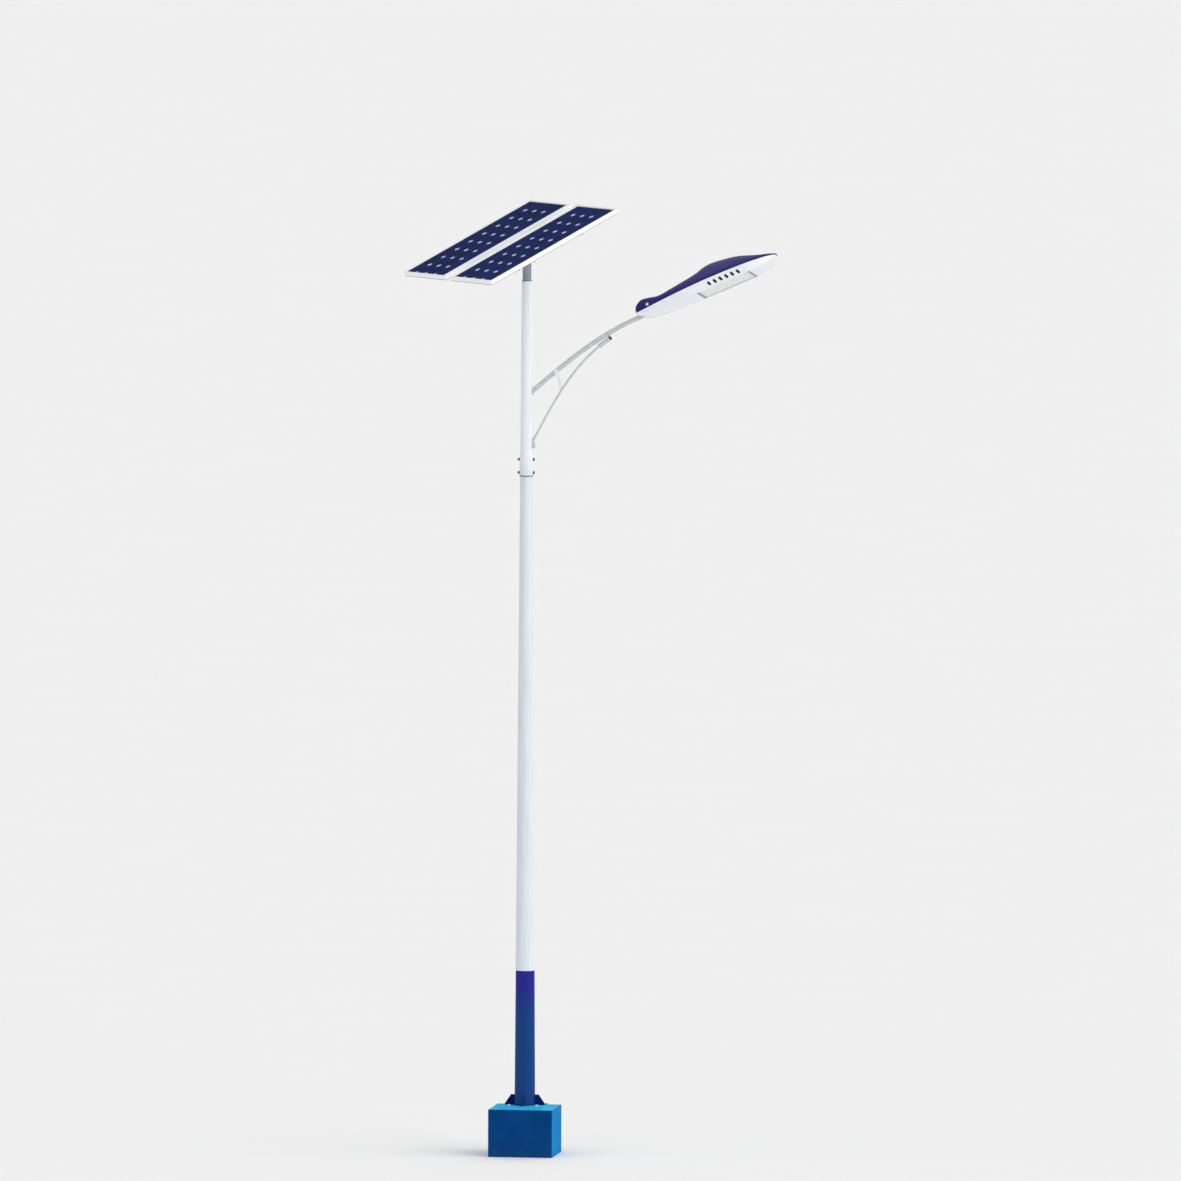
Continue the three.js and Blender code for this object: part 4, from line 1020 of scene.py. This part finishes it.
# ------------------------------------------------------------------ mast head
def mast_head():
    radius, bore = MAST["radius"], MAST["radius"] - MAST["wall"]
    low, high = MAST["bottom"], MAST["top"]
    profile = ((low, bore), (low, radius - 1), (low + 1, radius), (high, radius), (high, bore))
    tube = Shape().turned(profile, ORIGIN, UP, 64, closed=True)
    piece(tube, "mast_tube", "mast_head", GREY, stands_for=("mast_stub",))
    collar = Shape()
    top = UPPER_POLE["top"]
    profile = ((0, radius + 0.3), (0, radius + 3.4), (1, radius + 4), (3, radius + 3), (3.4, radius + 0.3))
    collar.turned(profile, (0, 0, top + 0.4), UP, 64, closed=True)
    piece(collar, "mast_seal", "mast_head", BLACK)
    dress("tilt_clevis", ZINC, 1.0)
    beads = Shape()
    weld(beads, circle((0, 0, high - 1), UP, radius + 1.5, 66), 3, closed=True)
    piece(beads, "clevis_welds", "mast_head", ZINC, MAST_FRAME, angle=60)


def tilt_fixings():
    ear, height = TILT["ear"] + 0.2, TILT["pivot"]
    bolt = Shape()
    bolt_head(bolt, (0, -ear, height), (0, -1, 0), (8.5, 15, 2.4), 24, 8.4)
    bolt.turned(((0, 8), (2 * ear + 5, 8)), (0, -ear - 3, height), (0, 1, 0), 24)
    threaded(bolt, (0, ear + 2, height), (0, 1, 0), 8, 16, 2)
    piece(bolt, "tilt_pivot_bolt", "mast_head", STAINLESS, MAST_FRAME, stands_for=("tilt_bolt",))
    nut = Shape()
    hex_prism(nut, (0, ear + 0.3, height), (0, 1, 0), 24, 12.8, both_ends=True)
    piece(nut, "tilt_pivot_nut", "mast_head", STAINLESS, MAST_FRAME, stands_for=("tilt_nut",))


# ------------------------------------------------------------------ module table
def module_middle(side):
    return side * (MODULE["gap"] + MODULE["width"]) / 2


def module_table():
    dress("tilt_knuckle", ZINC, 1.0)
    dress("support_beam", ZINC, 1.0)
    for number in (1, 2):
        dress(f"panel_rail_{number}", ALUMINIUM, 0.5)
        dress(f"module_frame_{number}", ANODISED, 0.6)
        dress(f"module_laminate_{number}", CELL_GLASS, 0.4)


def frame_corners():
    """Mitre joints in the module frames: a fine raised line at each corner."""
    shape = Shape()
    top = MODULE["glass_top"] + 4.1
    for side in (-1, 1):
        for end in (-1, 1):
            for edge in (-1, 1):
                x = MODULE["centre"] + end * MODULE["length"] / 2
                y = module_middle(side) + edge * MODULE["width"] / 2
                corner = Vector((x, y, top - 0.3))
                inward = Vector((-end, -edge, 0))
                shape.tube(line(corner + inward * 1.5, corner + inward * 10), 0.5, 6)
    piece(shape, "frame_mitre_lines", "module_table", DARK, TABLE_FRAME)


def back_sheets():
    """The white sheet under each laminate."""
    for side, number in ((1, 1), (-1, 2)):
        shape = Shape()
        half_x, half_y = MODULE["length"] / 2 - 12, MODULE["width"] / 2 - 12
        x, y, z = MODULE["centre"], module_middle(side), MODULE["glass_bottom"]
        shape.box((x - half_x, y - half_y, z - 0.6), (x + half_x, y + half_y, z - 0.1))
        piece(shape, f"back_sheet_{number}", "module_table", BOARD, TABLE_FRAME)


def junction_boxes():
    """Potting box with a ribbed lid and two glands."""
    for side, number in ((1, 1), (-1, 2)):
        x, y = MODULE["centre"] + 430, module_middle(side)
        top = MODULE["glass_bottom"] - 0.7
        shape = Shape()
        shape.box((x, y - 55, top - 15), (x + 95, y + 55, top))
        shape.box((x + 2, y - 53, top - 22), (x + 93, y + 53, top - 15.5))
        for rib in range(9):
            at = y - 40 + rib * 10
            shape.box((x + 12, at - 1.2, top - 23.6), (x + 83, at + 1.2, top - 21.5))
        for gland in (-28, 28):
            profile = ((0, 8), (3, 8), (3.5, 6.5), (12, 6.5), (13, 5))
            shape.turned(profile, (x + 1, y + gland, top - 10), (-1, 0, 0), 24)
        piece(shape, f"potting_box_{number}", "module_table", BLACK, TABLE_FRAME,
              stands_for=(f"junction_box_{number}",), bevel=0.6)


def beam_caps():
    shape = Shape()
    middle = (BEAM["bottom"] + BEAM["top"]) / 2
    for end in (-1, 1):
        x = MODULE["centre"] + end * BEAM["length"] / 2
        near, far = sorted((x - end * 6, x + end * 3))
        far -= 3 if end > 0 else 0
        shape.box((near, -BEAM["half"] + 3.3, middle - 16.6), (far, BEAM["half"] - 3.3, middle + 16.6))
        near, far = sorted((x + end * 0.3, x + end * 3))
        shape.box((near, -BEAM["half"] + 1, middle - 19), (far, BEAM["half"] - 1, middle + 19))
    piece(shape, "beam_end_caps", "module_table", BLACK, TABLE_FRAME, bevel=0.8)


def rail_fixings():
    """Bolts from rail to beam, and from rail to the module frames' inner flange."""
    shape = Shape()
    ring = (4.5, 9, 1.6)
    for rail in (-1, 1):
        x = MODULE["centre"] + rail * RAIL["spread"]
        for side in (-1, 1):
            y = side * 20
            bolt_head(shape, (x, y, BEAM["bottom"] - 0.1), DOWN, ring, 13, 5.5)
            threaded(shape, (x, y, RAIL["bottom"] + 2.6), UP, 4, 12, 1.25)
            hex_prism(shape, (x, y, RAIL["bottom"] + 2.8), UP, 13, 6.5, both_ends=True)
            bolt_head(shape, (x, side * (MODULE["gap"] / 2 + 14), RAIL["top"] - 2.7), DOWN, ring, 13, 5.5)
    piece(shape, "rail_fixings", "module_table", STAINLESS, TABLE_FRAME)


# ------------------------------------------------------------------ luminaire
def smooth_value(pairs, position):
    """A smooth value through (position, value) pairs."""
    last = len(pairs) - 2
    index = 0
    while index < last and pairs[index + 1][0] <= position:
        index += 1
    x0, y0 = pairs[max(0, index - 1)]
    x1, y1 = pairs[index]
    x2, y2 = pairs[index + 1]
    x3, y3 = pairs[min(last + 1, index + 2)]
    span = x2 - x1
    t = min(1.0, max(0.0, (position - x1) / span))
    start_slope = (y2 - y0) / (x2 - x0) * span
    end_slope = (y3 - y1) / (x3 - x1) * span
    value = (2 * t ** 3 - 3 * t ** 2 + 1) * y1 + (t ** 3 - 2 * t ** 2 + t) * start_slope
    return value + (-2 * t ** 3 + 3 * t ** 2) * y2 + (t ** 3 - t ** 2) * end_slope


def head_half_width(x):
    neck, middle, widest = HEAD_WIDTH["neck"], HEAD_WIDTH["middle"], HEAD_WIDTH["widest"]
    power = HEAD_WIDTH["roundness"]
    if x < widest:
        return neck + (middle - neck) * math.sin(math.pi / 2 * x / widest)
    share = min(1.0, (x - widest) / (HEAD["length"] + 4 - widest))
    return middle * (1 - share ** power) ** (1 / power)


def half_ring(x, inset, upper, steps, lip=0.0):
    """Half a ring round the luminaire, from the +Y seam to the -Y seam, over the top or under the floor."""
    at = min(HEAD["length"] - 2, max(0.0, x))
    width = head_half_width(at) - inset
    height = max(0.5, smooth_value(HEAD_CROWN if upper else HEAD_FLOOR, at) - inset)
    flat = (0.6 - 0.35 * x / 250 if x < 250 else 0.25) if upper else 0.8
    turn = 1 if upper else -1
    base = 0.3 if upper else 0.0
    if upper and x < COVER_HINGE["x"]:
        base = COVER_HINGE["z"] - math.sqrt(max(0.0, COVER_HINGE["clear"] ** 2 - (COVER_HINGE["x"] - x) ** 2))
    ring = []
    for step in range(2 * steps + 1):
        angle = math.pi / 2 * step / steps
        side = 1 if step <= steps else -1
        y = side * width * flat + width * (1 - flat) * math.cos(angle)
        if step == steps:
            y = 0.0
        z = turn * max(base, height * math.sin(angle))
        out = lip * max(0.0, 1 - abs(z) / 7.0)
        ring.append((x, y + math.copysign(out, y) if step != steps else y, HEAD["seam"] + z))
    return ring


def open_shell(outer, inner):
    """A shell of even wall, closed at both ends and open along the seam, from two sets of half rings."""
    rows, size = len(outer), len(outer[0])
    points = [point for ring in outer + inner for point in ring]
    offset = rows * size
    faces = []
    for base in (0, offset):
        for row in range(rows - 1):
            for column in range(size - 1):
                corner = base + row * size + column
                faces.append((corner, corner + 1, corner + size + 1, corner + size))
        faces.append(tuple(base + column for column in range(size)))
        faces.append(tuple(base + (rows - 1) * size + column for column in range(size)))
    rim = [row * size for row in range(rows)] + [row * size + size - 1 for row in reversed(range(rows))]
    for index, here in enumerate(rim):
        after = rim[(index + 1) % len(rim)]
        faces.append((here, after, after + offset, here + offset))
    return Shape().add(points, faces)


def head_shell(upper):
    stations, steps = 96, 22
    length, wall = HEAD["length"], HEAD["wall"]
    outer, inner = [], []
    for station in range(stations + 1):
        share = (1 - math.cos(math.pi * station / stations)) / 2
        outer.append(half_ring(length * share, 0.0, upper, steps, lip=1.4 if upper else 0.0))
        inner.append(half_ring(wall + (length - 3 * wall) * share, wall, upper, steps))
    return open_shell(outer, inner)


def cut_with(made, cutter):
    """Cuts one object out of another and keeps the result as its plain mesh."""
    boolean = made.modifiers.new("cut", "BOOLEAN")
    boolean.operation = "DIFFERENCE"
    boolean.solver = "EXACT"
    boolean.object = cutter
    bpy.context.view_layer.update()
    result = bpy.data.meshes.new_from_object(made.evaluated_get(bpy.context.evaluated_depsgraph_get()))
    made.modifiers.clear()
    made.data = result
    bpy.data.objects.remove(cutter)


def leaning_slot(shape, x, side):
    """The cutter for one slanted vent, with rounded ends."""
    half, long_half = VENTS["width"] / 2, VENTS["height"] / 2
    lean = math.radians(VENTS["slant"])
    ring = []
    for step in range(24):
        a, b = polar(half, 2 * math.pi * step / 24)
        b += math.copysign(long_half - half, b)
        ring.append((x + a * math.cos(lean) - b * math.sin(lean), HEAD["seam"] - VENTS["depth"]
                     + b * math.cos(lean) + a * math.sin(lean)))
    return shape.rings([[(a, side * y, b) for a, b in ring] for y in (150, 220)])


def vent_places():
    return [VENTS["first"] + index * VENTS["pitch"] for index in range(VENTS["count"])]


def housing():
    shell = head_shell(upper=False).object("lower_housing", HEAD_FRAME)
    cutter = Shape()
    cutter.turned(((-60, ARM["radius"] + 0.9), (170, ARM["radius"] + 0.9)), (0, 0, 0), (1, 0, 0), 64)
    cutter.box((WINDOW["start"], -WINDOW["half"], -80), (WINDOW["end"], WINDOW["half"], 0))
    for side in (-1, 1):
        for x in vent_places():
            leaning_slot(cutter, x, side)
    cut_with(shell, cutter.object("housing_cutter", HEAD_FRAME))
    finish_piece(shell, "luminaire", WHITE, ("head_housing",), angle=28)


def housing_fittings():
    """The saddle under the spigot, the hinge hooks, the screw lugs and the window's clamping ledge."""
    seam, glass = HEAD["seam"], HEAD["seam"] - 53.7
    shape = Shape()
    half_bore = ARM["radius"] + 0.8
    for start, end in ((44, 60), (76, 92), (108, 124)):
        rings = []
        for x in (start, end):
            bed = [(x, *polar(half_bore, math.pi + math.pi * step / 12)) for step in reversed(range(13))]
            rings.append([(x, 37, -26), (x, 37, 0)] + bed + [(x, -37, 0), (x, -37, -26)])
        shape.rings(rings)
    for side in (-1, 1):
        low, high = sorted((side * 46, side * 57))
        shape.box((13, low, seam - 10), (22, high, seam + 17))
        shape.box((8, low, seam + 12.8), (13.5, high, seam + 17))
        low, high = sorted((side * 70, side * 82))
        shape.box((96, low, seam - 12), (116, high, seam + COVER_SCREW["z"] - 5))
        low, high = sorted((side * 70, side * 93))
        shape.box((96, low, seam - 12), (116, high, seam - 2))
        low, high = sorted((side * (WINDOW["half"] + 2), side * (WINDOW["half"] + 14)))
        shape.box((WINDOW["start"] - 6, low, glass + 5.6), (WINDOW["end"] + 6, high, glass + 9))
    piece(shape, "housing_fittings", "luminaire", WHITE, HEAD_FRAME, bevel=0.6)


def inside_wall(x, drop, side, inset):
    """A point that far under the seam and that far in from the housing's outer face."""
    width = head_half_width(x) - inset
    rise = min(0.99, drop / (smooth_value(HEAD_FLOOR, x) - inset))
    return (x, side * width * (0.8 + 0.2 * math.sqrt(1 - rise ** 2)), HEAD["seam"] - drop)


def vent_screens_and_shade_sheet():
    """Black insect mesh on a dark sheet that stands for the shade inside the vents, curved to lie behind
    them.
    """
    shape = Shape()
    first, last = vent_places()[0] - 26, vent_places()[-1] + 26
    stations = [first + (last - first) * step / 12 for step in range(13)]
    drops = [14 + row * 3.4 for row in range(12)]
    for side in (-1, 1):
        for drop in drops:
            shape.tube([inside_wall(x, drop, side, 4.6) for x in stations], 1.1, 6)
        # painted shade: a dark sheet behind the mesh darkens the vents' insides
        rings = []
        for x in stations:
            front = [inside_wall(x, drop, side, 6.2) for drop in drops]
            back = [inside_wall(x, drop, side, 7.4) for drop in reversed(drops)]
            rings.append(front + back)
        shape.rings(rings)
    piece(shape, "vent_screens_and_shade_sheet", "luminaire", BLACK, HEAD_FRAME)


def cover():
    shape = head_shell(upper=True)
    x, z, seat = COVER_SCREW["x"], HEAD["seam"] + COVER_SCREW["z"], COVER_SCREW["seat"]
    boss = COVER_SCREW["boss"]
    for side in (-1, 1):
        profile = ((88, boss + 1.5), (seat - 1.2, boss), (seat - 0.3, boss - 0.5),
                   (seat, boss - 1.4), (seat, 4.6), (88, 4.6))
        shape.turned(profile, (x, 0, z), (0, side, 0), 40, closed=True)
    piece(shape, "cover_shell", "luminaire_cover", NAVY, HEAD_FRAME,
          stands_for=("head_cover",), angle=40)


def cover_screws():
    for side, number in ((-1, 1), (1, 2)):
        screw(side, number)


def screw(side, number):
    """A pan-head screw with a round recess."""
    x, z = COVER_SCREW["x"], HEAD["seam"] + COVER_SCREW["z"]
    start, height, radius = COVER_SCREW["seat"] + 0.3, COVER_SCREW["height"], COVER_SCREW["head"]
    shape = Shape()
    profile = [(start, 0.0), (start, radius - 0.4)]
    for step in range(8):
        turn = math.pi / 2 * step / 7
        profile.append((start + 0.8 + (height - 1.6) * math.sin(turn), radius - 4 + 4 * math.cos(turn)))
    profile += [(start + height - 0.8, 4.0), (start + height - 2.6, 0.0)]
    shape.turned(profile, (x, 0, z), (0, side, 0), 40)
    shank = COVER_SCREW["radius"]
    shape.turned(((72, shank * 0.7), (75, shank), (start + 0.5, shank)), (x, 0, z), (0, side, 0), 20)
    piece(shape, f"cover_fixing_{number}", "luminaire_cover", STAINLESS, HEAD_FRAME,
          stands_for=(f"cover_screw_{number}",))


def hinge_pin():
    x, z, radius = COVER_HINGE["x"], HEAD["seam"] + COVER_HINGE["z"], COVER_HINGE["radius"]
    profile = ((0, radius - 1), (0.8, radius), (131.2, radius), (132, radius - 1))
    shape = Shape().turned(profile, (x, -66, z), (0, 1, 0), 32)
    piece(shape, "cover_pin", "luminaire", STAINLESS, HEAD_FRAME,
          stands_for=("cover_hinge_pin",))


def lamp_optics():
    """Rows of clear lenses over the LEDs, with the white reflector strips between the rows."""
    dress("lens_glass", LENS, 0.5)
    dress("led_board", BOARD, 0.3)
    dress("heat_sink", ALUMINIUM, 0.3)
    dress("led_driver", ALUMINIUM, 0.8)
    dress("spigot_clamp", WHITE, 1.0)
    dress("lens_end_bar_1", GREY, 0.6)
    dress("lens_end_bar_2", GREY, 0.6)
    base = HEAD["seam"] - 42
    lenses = Shape()
    strips = Shape()
    columns, rows = 18, 6
    pitch_x = (WINDOW["end"] - WINDOW["start"] - 50) / (columns - 1)
    for row in range(rows):
        y = -100 + row * 200 / (rows - 1)
        strips.box((WINDOW["start"] + 10, y + 17, base - 4.5), (WINDOW["end"] - 10, y + 20, base))
        for column in range(columns):
            x = WINDOW["start"] + 25 + column * pitch_x
            profile = [(0, 7.5), (1, 7.5)]
            for step in range(5):
                turn = math.pi / 2 * step / 4
                profile.append((1 + 4.6 * math.sin(turn), 6.8 * math.cos(turn)))
            lenses.turned(profile, (x, y, base), DOWN, 14)
    piece(lenses, "led_lenses", "luminaire", OPTICS, HEAD_FRAME)
    piece(strips, "reflector_strips", "luminaire", BOARD, HEAD_FRAME, bevel=0.4)


# ------------------------------------------------------------------ floor, light and camera
def floor():
    """A wide pale floor that runs past the edges of the picture."""
    surface = Finish("pale floor", Roughness=0.9)
    surface.shader.inputs["Specular IOR Level"].default_value = 0.0
    cloud = surface.noise(900, 3)
    surface.colour(surface.mix(cloud, paint(250, 250, 250), paint(252, 252, 252)))
    rings = Shape()
    rings.turned(((-2, 160000), (-1, 160000)), ORIGIN, UP, 96)
    made = rings.object("floor", LAMP_FRAME)
    made.data.materials.append(surface.material)


def sun(name, direction, strength, softness):
    """A distant soft light; direction points from the lamp towards it."""
    light = bpy.data.lights.new(name, "SUN")
    light.energy = strength
    light.angle = math.radians(softness)
    made = bpy.data.objects.new(name, light)
    made.rotation_mode = "QUATERNION"
    made.rotation_quaternion = Vector(direction).to_track_quat("Z", "Y")
    bpy.context.scene.collection.objects.link(made)


def lights():
    world = bpy.data.worlds.new("studio")
    world.use_nodes = True
    background = world.node_tree.nodes["Background"]
    background.inputs["Color"].default_value = (1.0, 1.0, 1.0, 1.0)
    background.inputs["Strength"].default_value = 0.42
    bpy.context.scene.world = world
    sun("key", (0.85, -0.35, 0.45), 1.78, 70)
    sun("fill", (-0.5, -0.7, 0.6), 0.58, 80)
    sun("back", (0.1, 0.8, 0.7), 0.58, 80)
    bpy.context.scene.view_settings.view_transform = "Standard"


def camera():
    turn, rise = math.radians(CAMERA["azimuth"]), math.radians(CAMERA["elevation"])
    roll = math.radians(CAMERA["roll"])
    back = Vector((math.sin(turn) * math.cos(rise), -math.cos(turn) * math.cos(rise), math.sin(rise)))
    right = Vector((math.cos(turn), math.sin(turn), 0))
    up = back.cross(right)
    right, up = right * math.cos(roll) + up * math.sin(roll), up * math.cos(roll) - right * math.sin(roll)
    aim = Vector((0, 0, CAMERA["aim_height"])) + right * CAMERA["aim_right"] + up * CAMERA["aim_up"]
    lens = bpy.data.cameras.new("camera")
    lens.sensor_width = 36
    lens.lens = CAMERA["lens"]
    lens.clip_start, lens.clip_end = 10, 600
    made = bpy.data.objects.new("camera", lens)
    axes = Matrix((right, up, back)).transposed().to_4x4()
    made.matrix_world = Matrix.Translation(aim + back * CAMERA["distance"]) @ axes
    bpy.context.scene.collection.objects.link(made)
    bpy.context.scene.camera = made


camera()
lights()
floor()
cabinet()
door_louvres()
lock_escutcheon()
batteries()
strap_nuts()
charge_controller()
controller_button()
flange_fixings()
poles()
pole_seams()
sleeve_fixings()
gussets()
azimuth_lock()
arm()
brace()
strut()
arm_welds()
mast_head()
tilt_fixings()
module_table()
frame_corners()
back_sheets()
junction_boxes()
beam_caps()
rail_fixings()
housing()
housing_fittings()
vent_screens_and_shade_sheet()
cover()
cover_screws()
hinge_pin()
lamp_optics()
